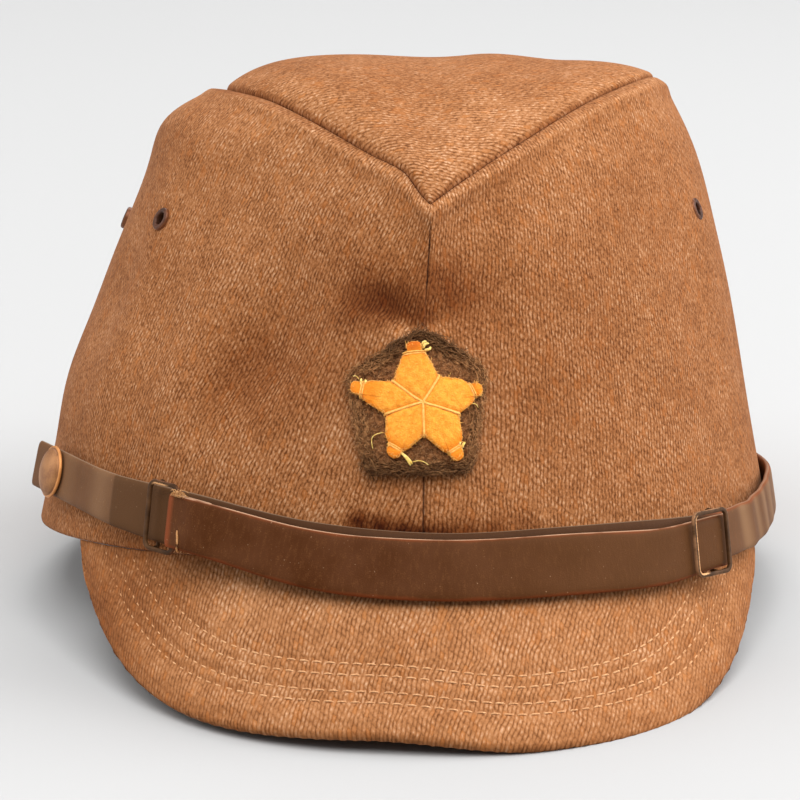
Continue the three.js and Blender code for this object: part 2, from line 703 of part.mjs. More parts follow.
const frontStations = [];
for (let i = 0; i <= RETURN_STEPS; i++) {
  const angle = FOLD_ANGLE + (1 - i / RETURN_STEPS) * FOLD_RETURN / MM_PER_DEGREE;
  frontStations.push(frontStation(angle, returnLift, FOLD_THICK));
}
for (let i = 1; i < FOLD_STEPS; i++) {
  const turn = Math.PI * i / FOLD_STEPS;
  const s = frontStation(FOLD_ANGLE, barLift - foldRadius * Math.cos(turn), FOLD_THICK);
  s.place.addScaledVector(s.along, -foldRadius * Math.sin(turn));
  s.face.multiplyScalar(Math.cos(turn)).addScaledVector(s.along, Math.sin(turn));
  frontStations.push(s);
}
for (let i = 0; i <= FRONT_STEPS; i++) {
  const angle = lerp(FOLD_ANGLE, TAIL_ANGLE, i / FRONT_STEPS);
  const past = angle - FOLD_ANGLE;
  const thick = lerp(FOLD_THICK, STRAP_THICK, smooth(past, 0, FULL_AT));
  const under = lerp(barLift + barSlot / 2, frontLift - STRAP_THICK / 2, smooth(past, FLAT_FROM, FLAT_AT));
  const s = frontStation(angle, under + thick / 2, thick);
  s.face.negate();
  frontStations.push(s);
}
addMesh('strap_front', ribbon(frontStations), LEATHER);

// A rectangular ring in the plane of x and y, its thickness along z about 0.
function ring(width, height, barX, barY, thick) {
  const rectangle = (path, w, h) => {
    path.moveTo(-w / 2, -h / 2);
    path.lineTo(w / 2, -h / 2);
    path.lineTo(w / 2, h / 2);
    path.lineTo(-w / 2, h / 2);
    path.closePath();
    return path;
  };
  const shape = rectangle(new THREE.Shape(), width, height);
  shape.holes.push(rectangle(new THREE.Path(), width - 2 * barX, height - 2 * barY));
  const geometry = new THREE.ExtrudeGeometry(shape, { depth: thick, bevelEnabled: false });
  return geometry.translate(0, 0, -thick / 2);
}

// Slides: a flat frame over the straps, and a loop from one of its bars round behind the back strap.
const rear = -STRAP_THICK / 2 - 2 * GAP - BAR_THICK;
const leftAngle = FOLD_ANGLE - (SLIDE_LEFT_WIDTH / 2 - BAR_WIDTH) / MM_PER_DEGREE;
const rightLift = frontLift + STRAP_THICK / 2 + GAP + BAR_THICK / 2;
const slides = [
  {
    name: 'slide_left', angle: leftAngle, width: SLIDE_LEFT_WIDTH, height: SLIDE_LEFT_HEIGHT,
    lift: barLift, loop: -1, lean: LEFT_ASKEW,
  },
  {
    name: 'slide_right', angle: SLIDE_RIGHT_ANGLE, width: SLIDE_RIGHT_WIDTH, height: SLIDE_RIGHT_HEIGHT,
    lift: rightLift, loop: 1, lean: RIGHT_ASKEW,
  },
];
for (const { name, angle, width, height, lift, loop, lean } of slides) {
  const f = strapFrame(angle);
  const frame = ring(width, height, BAR_WIDTH, BAR_WIDTH, BAR_THICK).translate(0, 0, lift);
  const front = lift + BAR_THICK / 2;
  const around = ring(front - rear, height, BAR_THICK, BAR_WIDTH, BAR_WIDTH);
  around.rotateY(Math.PI / 2).translate(loop * (width - BAR_WIDTH) / 2, 0, (front + rear) / 2);
  const place = f.place.clone().addScaledVector(f.up, -SLIDE_DROP * frontDrop(angle));
  const leaned = f.up.clone().addScaledVector(f.along, -lean);
  const matrix = new THREE.Matrix4().makeBasis(f.along, leaned, f.face).setPosition(place);
  addMesh(name, join(frame, around).applyMatrix4(matrix), PAINTED_METAL);
}

cap.rotation.x = -rad(REST_TILT);
const placed = new THREE.Group();
placed.add(cap);
placed.updateMatrixWorld(true);
const box = new THREE.Box3().setFromObject(placed, true);
placed.position.set(-(box.min.x + box.max.x) / 2, -(box.min.y + box.max.y) / 2, -box.min.z);
export default placed;
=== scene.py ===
# %% [markdown]
# # A wool field cap
#
# The cap has a soft crown of three twill panels, a stitched cloth peak, a felt star sewn on the front seam,
# air eyelets, and a leather chin strap with two metal slides and a button at each end.
# Its plain solids come from CAD. Here each solid gives way to a finer mesh of the same form, with rolled
# seams, rounded edges, stitches and procedural finishes.

# %% Load the plain solids
import math

import bmesh
import bpy
import numpy as np
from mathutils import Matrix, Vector


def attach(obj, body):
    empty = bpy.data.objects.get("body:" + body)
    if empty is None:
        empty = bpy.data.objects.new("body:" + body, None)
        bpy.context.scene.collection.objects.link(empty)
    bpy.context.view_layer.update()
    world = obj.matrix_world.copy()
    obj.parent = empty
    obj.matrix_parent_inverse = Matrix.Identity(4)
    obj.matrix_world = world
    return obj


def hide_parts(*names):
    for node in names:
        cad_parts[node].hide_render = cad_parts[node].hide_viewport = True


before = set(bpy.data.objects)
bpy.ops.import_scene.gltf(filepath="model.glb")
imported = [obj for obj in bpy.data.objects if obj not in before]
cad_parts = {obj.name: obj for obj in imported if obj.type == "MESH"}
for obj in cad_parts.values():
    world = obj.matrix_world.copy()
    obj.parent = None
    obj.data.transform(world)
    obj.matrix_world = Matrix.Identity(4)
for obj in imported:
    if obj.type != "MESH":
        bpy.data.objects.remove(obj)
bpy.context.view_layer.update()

# %% [markdown]
# ## One way to measure
#
# The forms are worked out in millimetres with the rim lying flat at z = 0 and the front towards -y.
# The cap stands on its peak and the back of its rim, so it leans back a little. `to_rest` makes that turn,
# moves the cap to its place in the part's frame, goes over to metres and keeps everything above the table.

# %% From the rim's frame to the part's frame
REST_TILT = math.radians(10.2)
REST_PLACE = np.array([-0.4593, 16.0216, 15.2550])


def to_rest(points):
    """Places in the part's frame, in metres."""
    x, y, z = np.moveaxis(np.asarray(points, float), -1, 0)
    leaned_y = y * math.cos(REST_TILT) + z * math.sin(REST_TILT)
    leaned_z = z * math.cos(REST_TILT) - y * math.sin(REST_TILT)
    placed = np.stack([x, leaned_y, leaned_z], -1) + REST_PLACE
    placed[..., 2] = np.maximum(placed[..., 2], 0)
    return placed / 1000


print("rim centre in the part's frame, m:", to_rest(np.zeros(3)).round(4))

# %% [markdown]
# ## Curves that everything shares
#
# Each form is worked out with numpy on a whole grid of points at once, which is quick and short to write.
# These helpers are a soft bump, a soft step, lengths and directions, and a smooth curve through the rows of
# a table. Tables keep the sizes of the cap together, where they are easy to change.

# %% Helpers for grids of points


def bell(x):
    """A soft bump: 1 in its middle and almost 0 from twice its width."""
    return np.exp(-np.square(x))


def smooth(x, low, high):
    """A soft step from 0 at low to 1 at high, which may be the smaller of the two."""
    s = np.clip((np.asarray(x, float) - low) / (high - low), 0, 1)
    return s * s * (3 - 2 * s)


def length(v):
    """Lengths of a grid of steps."""
    return np.linalg.norm(v, axis=-1)


def unit(v):
    """Steps made one long."""
    return v / np.maximum(length(v), 1e-9)[..., None]


def column(values, t):
    """Reads a table's column at t from 0 to 1, as a smooth curve through its rows."""
    first = 2 * values[0] - values[1]
    last = 2 * values[-1] - values[-2]
    padded = np.concatenate([[first], values, [last]])
    place = np.clip(t, 0, 1) * (len(values) - 1)
    i = np.minimum(place.astype(int), len(values) - 2)
    f = place - i
    before, here, there, after = (padded[i + k] for k in range(4))
    leave = (there - before) / 2
    arrive = (after - here) / 2
    rise = there - here
    bend = 3 * rise - 2 * leave - arrive
    return here + f * (leave + f * (bend + f * (leave + arrive - 2 * rise)))


def table(names, rows):
    """Columns of numbers, each under its name."""
    return dict(zip(names, np.array(rows, float).T))


def named(names, rows):
    """Rows whose values are read by name."""
    return [dict(zip(names, row)) for row in rows]


print("a bump one width from its middle:", bell(1).round(3))

# %% [markdown]
# ## The crown's form
#
# The rim is an oval that fits a head. Places on it are angles in degrees, counted from the middle of the
# front and growing towards +x, so that the peak, the strap and the panels can all be set out from it.

# %% Rim
RIM_HALF_WIDTH = 89.4
RIM_HALF_LENGTH = 100


def rim_outward(angle):
    """Level direction out of the rim."""
    turn = np.radians(angle)
    return unit(np.stack([np.sin(turn) / RIM_HALF_WIDTH, -np.cos(turn) / RIM_HALF_LENGTH, 0 * turn], -1))


def rim_point(angle, out=0.0):
    """Place on the rim, moved outwards by a distance."""
    turn = np.radians(angle)
    oval = np.stack([RIM_HALF_WIDTH * np.sin(turn), -RIM_HALF_LENGTH * np.cos(turn), 0 * turn], -1)
    return oval + rim_outward(angle) * np.asarray(out)[..., None]


print("rim's width and length, mm:", 2 * RIM_HALF_WIDTH, 2 * RIM_HALF_LENGTH)

# %% [markdown]
# Each side panel runs from the front seam to the back seam. A row of its table gives, at one place along the
# panel, the angle on the rim, where the top seam is, and how far the shoulder between them swells.
# A curve with one handle joins rim and seam through that shoulder, which is how a soft panel hangs.
# Sculpting would give the same form, but a table can be read and changed.
# Worn cloth is never even: the dents are soft hollows in it or, with a depth below zero, swellings.

# %% Tables of the side panels
SEAM_X = 3.2
WALL_NAMES = ("rim", "out", "y", "z", "shoulder", "at")
RIGHT_WALL = table(WALL_NAMES, [
    (0, 0, -78, 77.8, 5, 0.85),
    (22, 18, -61, 89, 6, 0.85),
    (44, 38, -39, 100.4, 9, 0.88),
    (66, 54, -15, 106.8, 9.5, 0.9),
    (90, 60, 10, 107.4, 9.8, 0.9),
    (114, 55, 36, 104, 10, 0.9),
    (136, 40, 58, 98, 11, 0.88),
    (158, 19, 75, 92, 8, 0.85),
    (180, 0, 84, 89, 6, 0.85),
])
LEFT_WALL = table(WALL_NAMES, [
    (0, 0, -78, 77.8, 5, 0.85),
    (22, 15, -61, 89.8, 7, 0.86),
    (44, 33, -39, 100.6, 12, 0.9),
    (66, 44, -16, 104.5, 19.5, 0.92),
    (90, 46.5, 10, 104.8, 22, 0.92),
    (114, 44.5, 36, 102, 21, 0.92),
    (136, 34, 58, 97, 14.5, 0.9),
    (158, 18, 75, 92, 9, 0.86),
    (180, 0, 84, 89, 6, 0.85),
])
KNEE = 2.1
KNEE_AT = 0.05
KNEE_WIDE = 0.045
WALLS = {1: RIGHT_WALL, -1: LEFT_WALL}
DENT_NAMES = ("side", "t", "v", "climb", "wide", "above", "below", "depth")
DENTS = named(DENT_NAMES, (
    (1, 0, 0.66, 0, 0.07, 0.17, 0.17, 2.2),
    (-1, 0, 0.66, 0, 0.07, 0.17, 0.17, 2.2),
    (-1, 0.3, 0.3, 0, 0.035, 0.24, 0.24, 1.3),
    (-1, 0.39, 0.34, 0, 0.03, 0.2, 0.2, 1.1),
    (1, 0.33, 0.26, 0, 0.035, 0.2, 0.2, 0.9),
    (-1, 0.47, 0.78, 0, 0.2, 0.13, 0.13, -3.6),
    (-1, 0.42, 0.2, 0, 0.2, 0.09, 0.09, -2.2),
    (-1, 0.17, 0.3, -1.3, 0.05, 0.17, 0.09, 3.5),
))
print("rows of a side panel:", len(RIGHT_WALL["rim"]), "dents:", len(DENTS))

# %% [markdown]
# A panel's face is a function of two shares, so any grid can be laid on it, fine or coarse, and a badge or a
# button can ask it for a place and a direction. The direction comes from two short steps on the face.

# %% Side panels
NEAR_SEAM = 0.003


def wall_point(side, t, v):
    """A side panel's face: t from the front seam to the back seam, v from the rim to the top seam."""
    t, v = np.broadcast_arrays(np.asarray(t, float), np.asarray(v, float))
    rows = {name: column(values, t) for name, values in WALLS[side].items()}
    foot = rim_point(side * rows["rim"])
    outward = rim_outward(side * rows["rim"])
    seam = np.stack([SEAM_X + side * rows["out"], rows["y"], rows["z"]], -1)
    if side < 0:
        seam[..., 2] += KNEE * bell((t - KNEE_AT) / KNEE_WIDE) * smooth(t, 0, KNEE_AT)
    at = rows["at"][..., None]
    shoulder = foot * (1 - at) + seam * at + outward * rows["shoulder"][..., None]
    w = v[..., None]
    p = foot * (1 - w) ** 2 + shoulder * 2 * w * (1 - w) + seam * w * w
    for dent in DENTS:
        if dent["side"] == side:
            rise = v - dent["v"] - dent["climb"] * (t - dent["t"])
            tall = np.where(rise > 0, dent["above"], dent["below"])
            depth = dent["depth"] * bell((t - dent["t"]) / dent["wide"]) * bell(rise / tall)
            p = p - outward * depth[..., None]
    return p


def normal_of(point_at, u, v, edge):
    """Direction off a face; nearer to its border than edge, the one at edge is taken."""
    step = 0.002
    u, v = np.broadcast_arrays(np.asarray(u, float), np.asarray(v, float))
    a = np.clip(u, edge, 1 - edge)
    b = np.clip(v, edge, 1 - edge)
    du = point_at(a + step, b) - point_at(a - step, b)
    dv = point_at(a, b + step) - point_at(a, b - step)
    return unit(np.cross(du, dv))


def wall_normal(side, t, v):
    """Direction out of a side panel."""
    return side * normal_of(lambda a, b: wall_point(side, a, b), t, v, NEAR_SEAM)


print("front seam's height, mm:", wall_point(1, 0, 1)[2] - wall_point(1, 0, 0)[2])

# %% [markdown]
# The top is a pointed oval between the two top seams. It puffs up behind the front point and has a shallow
# valley along its middle. It is spanned between the panels' own top edges, so the seams always meet.

# %% Top panel
TOP_PUFF = 7.5
TOP_FULLNESS = 0.7
TOP_SLANT = 0.42
SLANT_FROM = (0.15, 0.6)
TOP_FLATNESS = 6
TOP_VALLEY = 1.6
VALLEY_WIDTH = 0.3
TOP_FOLD = 1.3
TOP_FOLD_AT = 0.1
TOP_FOLD_WIDE = 0.045
NEAR_POINT = 0.01


def top_point(t, w):
    """The top's face: t from the front point to the back point, w from the left seam to the right seam."""
    t, w = np.broadcast_arrays(np.asarray(t, float), np.asarray(w, float))
    p = wall_point(-1, t, 1) * (1 - w[..., None]) + wall_point(1, t, 1) * w[..., None]
    across = 2 * w - 1
    along = np.sin(np.pi * np.clip(t, 0, 1)) ** TOP_FULLNESS
    puff = TOP_PUFF * (1 - np.abs(across) ** TOP_FLATNESS) * (1 - TOP_SLANT * smooth(across, *SLANT_FROM))
    fold = TOP_FOLD * bell((t - TOP_FOLD_AT) / TOP_FOLD_WIDE) * (1 - across ** 2)
    p[..., 2] += along * (puff + fold - TOP_VALLEY * bell(across / VALLEY_WIDTH))
    return p


def top_normal(t, w):
    """Direction out of the top."""
    return -normal_of(top_point, t, w, NEAR_POINT)


print("top panel's length, mm:", length(top_point(1, 0.5) - top_point(0, 0.5)).round(1))

# %% [markdown]
# ## From points to pieces
#
# Cloth has two faces. `sheet` closes an outer grid and an inner grid into one mesh; a Solidify modifier would
# do that too, but here the inner face has its own form at seams and hems. `tubes` makes round strands, for
# stitches, yarn, fibres and wire.

# %% Sheets and strands


def quads(grid):
    """Faces between the neighbours of a grid of point numbers."""
    return np.stack([grid[:-1, :-1], grid[1:, :-1], grid[1:, 1:], grid[:-1, 1:]], -1).reshape(-1, 4)


def sheet(outer, inner):
    """One closed mesh from two grids of points."""
    points = np.concatenate([outer.reshape(-1, 3), inner.reshape(-1, 3)])
    front, back = np.arange(len(points)).reshape(2, *outer.shape[:2])
    faces = [quads(front), quads(back)[:, ::-1]]
    for edge in (np.s_[0], np.s_[-1], np.s_[:, 0], np.s_[:, -1]):
        faces.append(quads(np.stack([front[edge], back[edge]])))
    return points, np.concatenate(faces).tolist()


def tubes(paths, radius, sides=6, closed=False):
    """Round strands along paths that have the same number of points."""
    paths = np.asarray(paths, float)
    count, steps = paths.shape[:2]
    if closed:
        along = np.roll(paths, -1, 1) - np.roll(paths, 1, 1)
    else:
        along = np.gradient(paths, axis=1)
    along = unit(along)
    upright = np.abs(along[:, :1, 2:]) > 0.9
    guess = np.where(upright, np.array([1.0, 0, 0]), np.array([0, 0, 1.0]))
    across = unit(np.cross(along, guess))
    lift = np.cross(across, along)
    turn = 2 * np.pi * np.arange(sides) / sides
    spokes = across[:, :, None] * np.cos(turn)[:, None] + lift[:, :, None] * np.sin(turn)[:, None]
    spread = np.broadcast_to(np.asarray(radius, float), (count, steps))
    points = (paths[:, :, None] + spokes * spread[..., None, None]).reshape(-1, 3)
    index = np.arange(len(points)).reshape(count, steps, sides)
    around = np.concatenate([index, index[:, :, :1]], 2)
    if closed:
        around = np.concatenate([around, around[:, :1]], 1)
    faces = [face for strand in around for face in quads(strand).tolist()]
    if not closed:
        faces += index[:, 0, ::-1].tolist() + index[:, -1].tolist()
    return points, faces


def joined(*meshes):
    """Several meshes as one."""
    points = []
    faces = []
    for more_points, more_faces in meshes:
        start = sum(len(p) for p in points)
        points.append(more_points)
        faces += [[start + k for k in face] for face in more_faces]
    return np.concatenate(points), faces


print("a sheet between two squares has", len(sheet(np.zeros((2, 2, 3)), np.ones((2, 2, 3)))[1]), "faces")

# %% [markdown]
# `add_piece` makes a Blender object from points and faces, welds points that meet, lets the faces look
# outwards, and hides the plain solids that the object stands for. The weave needs real lengths on the cloth, so
# each point may also carry a place in the cloth's own flat plane, in millimetres, kept as a UV map.

# %% Add a piece
WELD = 1e-6


def add_piece(name, points, faces, finish, slot, nodes=(), weave=None, sharp=None):
    """Makes an object; edges that bend more than sharp, in degrees, are not smoothed."""
    mesh = bpy.data.meshes.new(name)
    mesh.from_pydata(to_rest(points).tolist(), [], faces)
    if weave is not None:
        corners = np.empty(len(mesh.loops), np.int32)
        mesh.loops.foreach_get("vertex_index", corners)
        layer = mesh.uv_layers.new(name="weave")
        layer.data.foreach_set("uv", weave.reshape(-1, 2)[corners].astype(np.float32).ravel())
    work = bmesh.new()
    work.from_mesh(mesh)
    bmesh.ops.remove_doubles(work, verts=work.verts, dist=WELD)
    bmesh.ops.recalc_face_normals(work, faces=work.faces)
    work.to_mesh(mesh)
    work.free()
    mesh.shade_smooth()
    if sharp is not None:
        mesh.set_sharp_from_angle(angle=math.radians(sharp))
    mesh.materials.append(finish.material)
    piece = bpy.data.objects.new(name, mesh)
    bpy.context.scene.collection.objects.link(piece)
    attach(piece, "root")
    if nodes:
        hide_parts(*nodes)
    print(name, len(mesh.polygons), "faces")
    return piece


# %% [markdown]
# ## Materials as sums
#
# A shader is easier to read as a sum than as a list of nodes and links. `Wire` stands for the output of a
# node and knows the arithmetic signs, so `1 - mask * 0.5` adds two Math nodes and links them. The same could
# be wired by hand in the shader editor, but a sum can be read at a glance.

# %% Sums of sockets


class Wire:
    """A node's output that can be used in sums."""

    def __init__(self, finish, socket):
        self.finish = finish
        self.socket = socket

    def math(self, operation, *others):
        """Any Math node, with this wire as its first value."""
        return self.finish.node("Math", {"operation": operation}, dict(enumerate((self, *others))))

    def out(self, name):
        """Another output of the same node."""
        return Wire(self.finish, self.socket.node.outputs[name])

    def ramp(self, low, high):
        """A soft step from 0 at low to 1 at high, like smooth()."""
        sockets = {"Value": self, "From Min": low, "From Max": high}
        return self.finish.node("MapRange", {"interpolation_type": "SMOOTHSTEP"}, sockets)

    def __add__(self, other):
        return self.math("ADD", other)

    def __sub__(self, other):
        return self.math("SUBTRACT", other)

    def __rsub__(self, other):
        return self.math("MULTIPLY_ADD", -1.0, other)

    def __mul__(self, other):
        return self.math("MULTIPLY", other)

    def __truediv__(self, other):
        return self.math("DIVIDE", other)

    def __pow__(self, other):
        return self.math("POWER", other)

    __radd__ = __add__
    __rmul__ = __mul__


print("reflected signs of a wire:", [sign for sign in vars(Wire) if sign.startswith("__r")])

# %% [markdown]
# `Finish` is a material with one shader. Its `node` method adds any other node: first its settings, because
# they decide which sockets it has, then the values or links of its sockets. Colours go through Mix nodes,
# because a Math node would turn them grey. `tone` lets colours be written as on a paint card.

# %% A material that adds nodes


class Finish:
    """A material with one shader; node() adds any other node and hands back its first output."""

    def __init__(self, name, constants):
        self.material = bpy.data.materials.new(name)
        self.material.use_nodes = True
        self.tree = self.material.node_tree
        self.shader = self.tree.nodes["Principled BSDF"]
        for socket, value in constants.items():
            self.shader.inputs[socket].default_value = value

    def node(self, kind, settings=None, sockets=None):
        """Adds a node of any kind."""
        made = self.tree.nodes.new("ShaderNode" + kind)
        for name, value in (settings or {}).items():
            setattr(made, name, value)
        for name, value in (sockets or {}).items():
            if isinstance(value, Wire):
                self.tree.links.new(value.socket, made.inputs[name])
            else:
                made.inputs[name].default_value = value
        return Wire(self, next(socket for socket in made.outputs if socket.enabled))

    def mix(self, factor, first, second, blend="MIX"):
        """Two colours mixed by a factor."""
        settings = {"data_type": "RGBA", "blend_type": blend}
        return self.node("Mix", settings, {0: factor, 6: first, 7: second})

    def noise(self, where, scale, detail=2.0):
        """Smooth noise, with scale as its lumps per millimetre."""
        return self.node("TexNoise", None, {"Vector": where, "Scale": scale, "Detail": detail})

    def flat(self):
        """Places in the piece's own flat plane, in millimetres."""
        return self.node("UVMap", {"uv_map": "weave"})

    def solid(self):
        """Places on the part itself, in millimetres."""
        place = self.node("TexCoord").out("Object")
        return self.node("VectorMath", {"operation": "SCALE"}, {0: place, "Scale": 1000.0})

    def link(self, socket, wire):
        """Links a wire to the shader."""
        self.tree.links.new(wire.socket, self.shader.inputs[socket])

    def bump(self, height, millimetres, strength=1.0):
        """Small relief that is too fine for the mesh."""
        sockets = {"Height": height, "Distance": millimetres / 1000, "Strength": strength}
        self.link("Normal", self.node("Bump", None, sockets))


def tone(code):
    """A colour written as #rrggbb, as the linear values that shaders use."""
    parts = [int(code[k:k + 2], 16) / 255 for k in (1, 3, 5)]
    return tuple(p / 12.92 if p <= 0.04045 else ((p + 0.055) / 1.055) ** 2.4 for p in parts) + (1.0,)


print("middle grey as a linear value:", round(tone("#808080")[0], 3))

# %% [markdown]
# ## Wool twill
#
# Old cloth is not one colour, and here light and shade are painted into it too. It is painted paler where it
# faces the sky, but for the flat top, with painted shade in the folds round the badge and in the line above the
# strap, and painted light on some ridges and below the strap. A row of the table is a soft ball round a place
# on a side panel: its radius in millimetres, and how much painted shade it gives or, below zero, painted light.
# Painting would need a picture file; balls need only numbers, and they stay on the part in every view.

# %% Painted light and shade
PAINTED_SHADE_AND_LIGHT_NAMES = ("side", "t", "v", "radius", "amount")
# Soft balls of painted shade and, below zero, of painted light.
PAINTED_SHADE_AND_LIGHT = named(PAINTED_SHADE_AND_LIGHT_NAMES, (
    (-1, 0.065, 0.485, 16, 0.42),
    (1, 0.02, 0.57, 15, 0.36),
    (1, 0.05, 0.53, 14, 0.2),
    (-1, 0.1, 0.6, 26, 0.08),
    (-1, 0.16, 0.28, 26, 0.36),
    (-1, 0.2, 0.24, 18, 0.14),
    (-1, 0.055, 0.058, 5, 0.8),
    (-1, 0.036, 0.051, 5, 0.88),
    (-1, 0.018, 0.046, 5, 0.88),
    (1, 0.0, 0.042, 5, 0.85),
    (1, 0.018, 0.042, 5, 0.7),
    (1, 0.038, 0.044, 5, 0.55),
    (1, 0.06, 0.046, 5, 0.45),
    (1, 0.085, 0.048, 5, 0.35),
    (-1, 0.045, 0.468, 9, 0.55),
    (-1, 0.08, 0.46, 9, 0.38),
    (-1, 0.006, 0.485, 6, 0.5),
    (-1, 0.01, 0.43, 8, -0.22),
    (-1, 0.035, 0.42, 9, -0.26),
    (-1, 0.06, 0.412, 9, -0.24),
    (1, 0.13, 0.4, 50, 0.14),
    (-1, 0.26, -0.08, 34, 0.27),
    (-1, 0.36, 0.93, 28, 0.2),
    (-1, 0.13, -0.07, 14, -0.16),
    (-1, 0.06, -0.065, 14, -0.12),
    (1, 0.01, -0.07, 14, -0.12),
))
# Painted light by facing: cloth that faces the sky is painted paler, and the flat top is painted darker again.
UPRIGHT = 0.78
PAINTED_SKY_LIGHT = 0.21
PAINTED_SKY_LIGHT_FROM = (0.35, 0.85)
PAINTED_TOP_SHADE = 0.17
PAINTED_TOP_SHADE_FROM = (0.88, 0.98)


def painted_light_and_shade(cloth):
    """Painted light and shade: paler where it faces the sky but for the top, then changed by each soft ball."""
    normal = cloth.node("SeparateXYZ", None, {0: cloth.node("NewGeometry").out("Normal")})
    upward = normal.out("Z")
    light = UPRIGHT + upward.ramp(*PAINTED_SKY_LIGHT_FROM) * PAINTED_SKY_LIGHT - upward.ramp(*PAINTED_TOP_SHADE_FROM) * PAINTED_TOP_SHADE
    place = cloth.solid()
    for spot in PAINTED_SHADE_AND_LIGHT:
        middle = tuple(1000 * to_rest(wall_point(spot["side"], spot["t"], spot["v"])))
        far = cloth.node("VectorMath", {"operation": "DISTANCE"}, {0: place, 1: middle})
        light = light * (1 - far.ramp(spot["radius"], 0) * spot["amount"])
    return light


# The number of soft balls of painted shade and painted light.
print("soiled or rubbed places:", len(PAINTED_SHADE_AND_LIGHT))

# %% [markdown]
# In this twill, thick soft yarns lie in steep rows, and each shows as a short oval float before it dives
# under the next. The pattern is worked out from the flat plane of the cloth: rows of a real width, cut into
# floats of a real length, each with its own shade. The dark ground shows between them. A picture of cloth
# would repeat and stretch, and woven geometry would be far too heavy; a sum is neither.
# Wear raises a nap that hides the weave in patches, and more towards the sides and the back.

# %% Twill
WALE_WIDTH = 0.96
FLOAT_LENGTH = 1.9
FLOAT_STEP = 0.37
FLOAT_SLANT = 0.3
WANDER = 2.4
WOBBLE = 0.8
LENGTH_WOBBLE = 1.1
GREEN_FALL = 1.4
BLUE_FALL = 1.9
WORN_MIDDLE = tuple(1000 * to_rest((0, -95, 25)))
NAP_FROM = (50, 105)
NAP = 0.3
PATCHES = 0.3


def felted(cloth, flat, least):
    """How far the nap hides the weave: more in patches, and more towards the sides and the back."""
    far = cloth.node("VectorMath", {"operation": "DISTANCE"}, {0: cloth.solid(), 1: WORN_MIDDLE})
    return least + cloth.noise(flat, 0.2).ramp(0.35, 0.65) * PATCHES + far.ramp(*NAP_FROM) * NAP


def twill(name, least, rough):
    """The cloth's finish: least is how much nap there is everywhere, rough how uneven the yarns are."""
    cloth = Finish(name, {"Roughness": 0.95, "Specular IOR Level": 0.1, "Sheen Weight": 0.02})
    flat = cloth.flat()
    hidden = felted(cloth, flat, least)
    wander = cloth.noise(flat, 0.11)
    wobble = cloth.noise(flat, 0.75)
    place = cloth.node("SeparateXYZ", None, {0: flat})
    across = (place + (wander - 0.5) * WANDER + (wobble - 0.5) * WOBBLE * rough) / WALE_WIDTH
    wale = across.math("FLOOR")
    f = across - wale
    chance = cloth.node("TexWhiteNoise", {"noise_dimensions": "1D"}, {"W": wale})
    along = (place.out("Y") + (wobble - 0.5) * LENGTH_WOBBLE) / FLOAT_LENGTH
    along = along + wale * FLOAT_STEP + chance * 0.3 + f * FLOAT_SLANT
    pick = along.math("FLOOR")
    g = along - pick
    yarn = f * (1 - f) * 4 * (0.4 + g * (1 - g) * 2.4)
    cell = cloth.node("CombineXYZ", None, {0: wale, 1: pick})
    dice = cloth.node("TexWhiteNoise", {"noise_dimensions": "2D"}, {"Vector": cell})
    die = cloth.node("SeparateColor", None, {0: dice.out("Color")})
    combed = cloth.node("Mapping", None, {"Vector": flat, "Scale": (2.2, 0.9, 1.0)})
    nap = cloth.noise(combed, 1.0, 3.0)
    worn = cloth.noise(flat, 0.09, 2.0)
    blotch = cloth.noise(flat, 0.3, 3.0)
    cloud = cloth.noise(flat, 0.04, 2.0)
    fibre = cloth.noise(flat, 2.0, 2.0)
    weave = yarn * (1 - hidden) + hidden * 0.55
    fuzz = (nap - 0.5) * 1.5 + (fibre - 0.5) * 0.7
    value = weave * (0.42 + worn * 0.5) + fuzz * rough + (die - 0.5) * 0.14
    colour = cloth.mix(value.ramp(-0.05, 0.5), tone("#6b3f20"), tone("#a97248"))
    colour = cloth.mix(value.ramp(0.4, 0.95), colour, tone("#d0a684"))
    colour = cloth.mix(die.out("Green").ramp(0.8, 1.0) * 0.3, colour, tone("#b96e2f"))
    # shade holds random tone times the painted light and shade; where it is darker, green and blue fall faster.
    shade = (0.62 + blotch * 0.5 + cloud * 0.26) * painted_light_and_shade(cloth)
    warm = cloth.node("CombineColor", None, {0: shade, 1: shade ** GREEN_FALL, 2: shade ** BLUE_FALL})
    cloth.link("Base Color", cloth.mix(1.0, colour, warm, "MULTIPLY"))
    cloth.bump(weave * 0.7 + nap * 0.7, 0.3, 0.6)
    return cloth


wool = twill("wool_twill", 0.1, 0.85)
peak_wool = twill("peak_twill", 0.15, 0.45)
print("twill nodes:", len(wool.tree.nodes))

# %% [markdown]
# The finish has to know where each point lies on the flat cloth. Unwrapping by hand would do, but a grid
# already has its own lengths: they are added up along the grid and turned to the way the rows run.

# %% Places on the flat cloth


def on_grain(x, y, degrees):
    """Flat places turned so that the first number runs across the wales and the second along them."""
    turn = math.radians(degrees)
    return np.stack([x * math.sin(turn) - y * math.cos(turn), x * math.cos(turn) + y * math.sin(turn)], -1)


def run_lengths(grid, axis):
    """Distance from the first line of a grid of points, along one of its directions."""
    steps = length(np.diff(grid, axis=axis))
    zero = np.zeros_like(np.take(steps, [0], axis=axis))
    return np.concatenate([zero, np.cumsum(steps, axis=axis)], axis=axis)


print("a step along rows that run upright:", on_grain(0, 1, 90).round(1))

# %% [markdown]
# ## Sewing the crown
#
# Where two panels are sewn together, each edge rolls down into the seam. So the grids are finer near the
# seams, and the faces sink there along the line that halves the angle between the panels. A bump in the
# material could draw a seam as well, but it would vanish at the cap's outline.

# %% Seams
SEAM_DEPTH = 1.3
SEAM_SLACK = 0.4
SLACK_AT = 0.1
SLACK_WIDE = 0.05
TIP_BLEND = 0.05
NEAR_TIP = 0.02
GROWTH = 0.16
WALL_LENGTH = 300
WALL_HEIGHT = 100
SEAM_STEP = 0.25


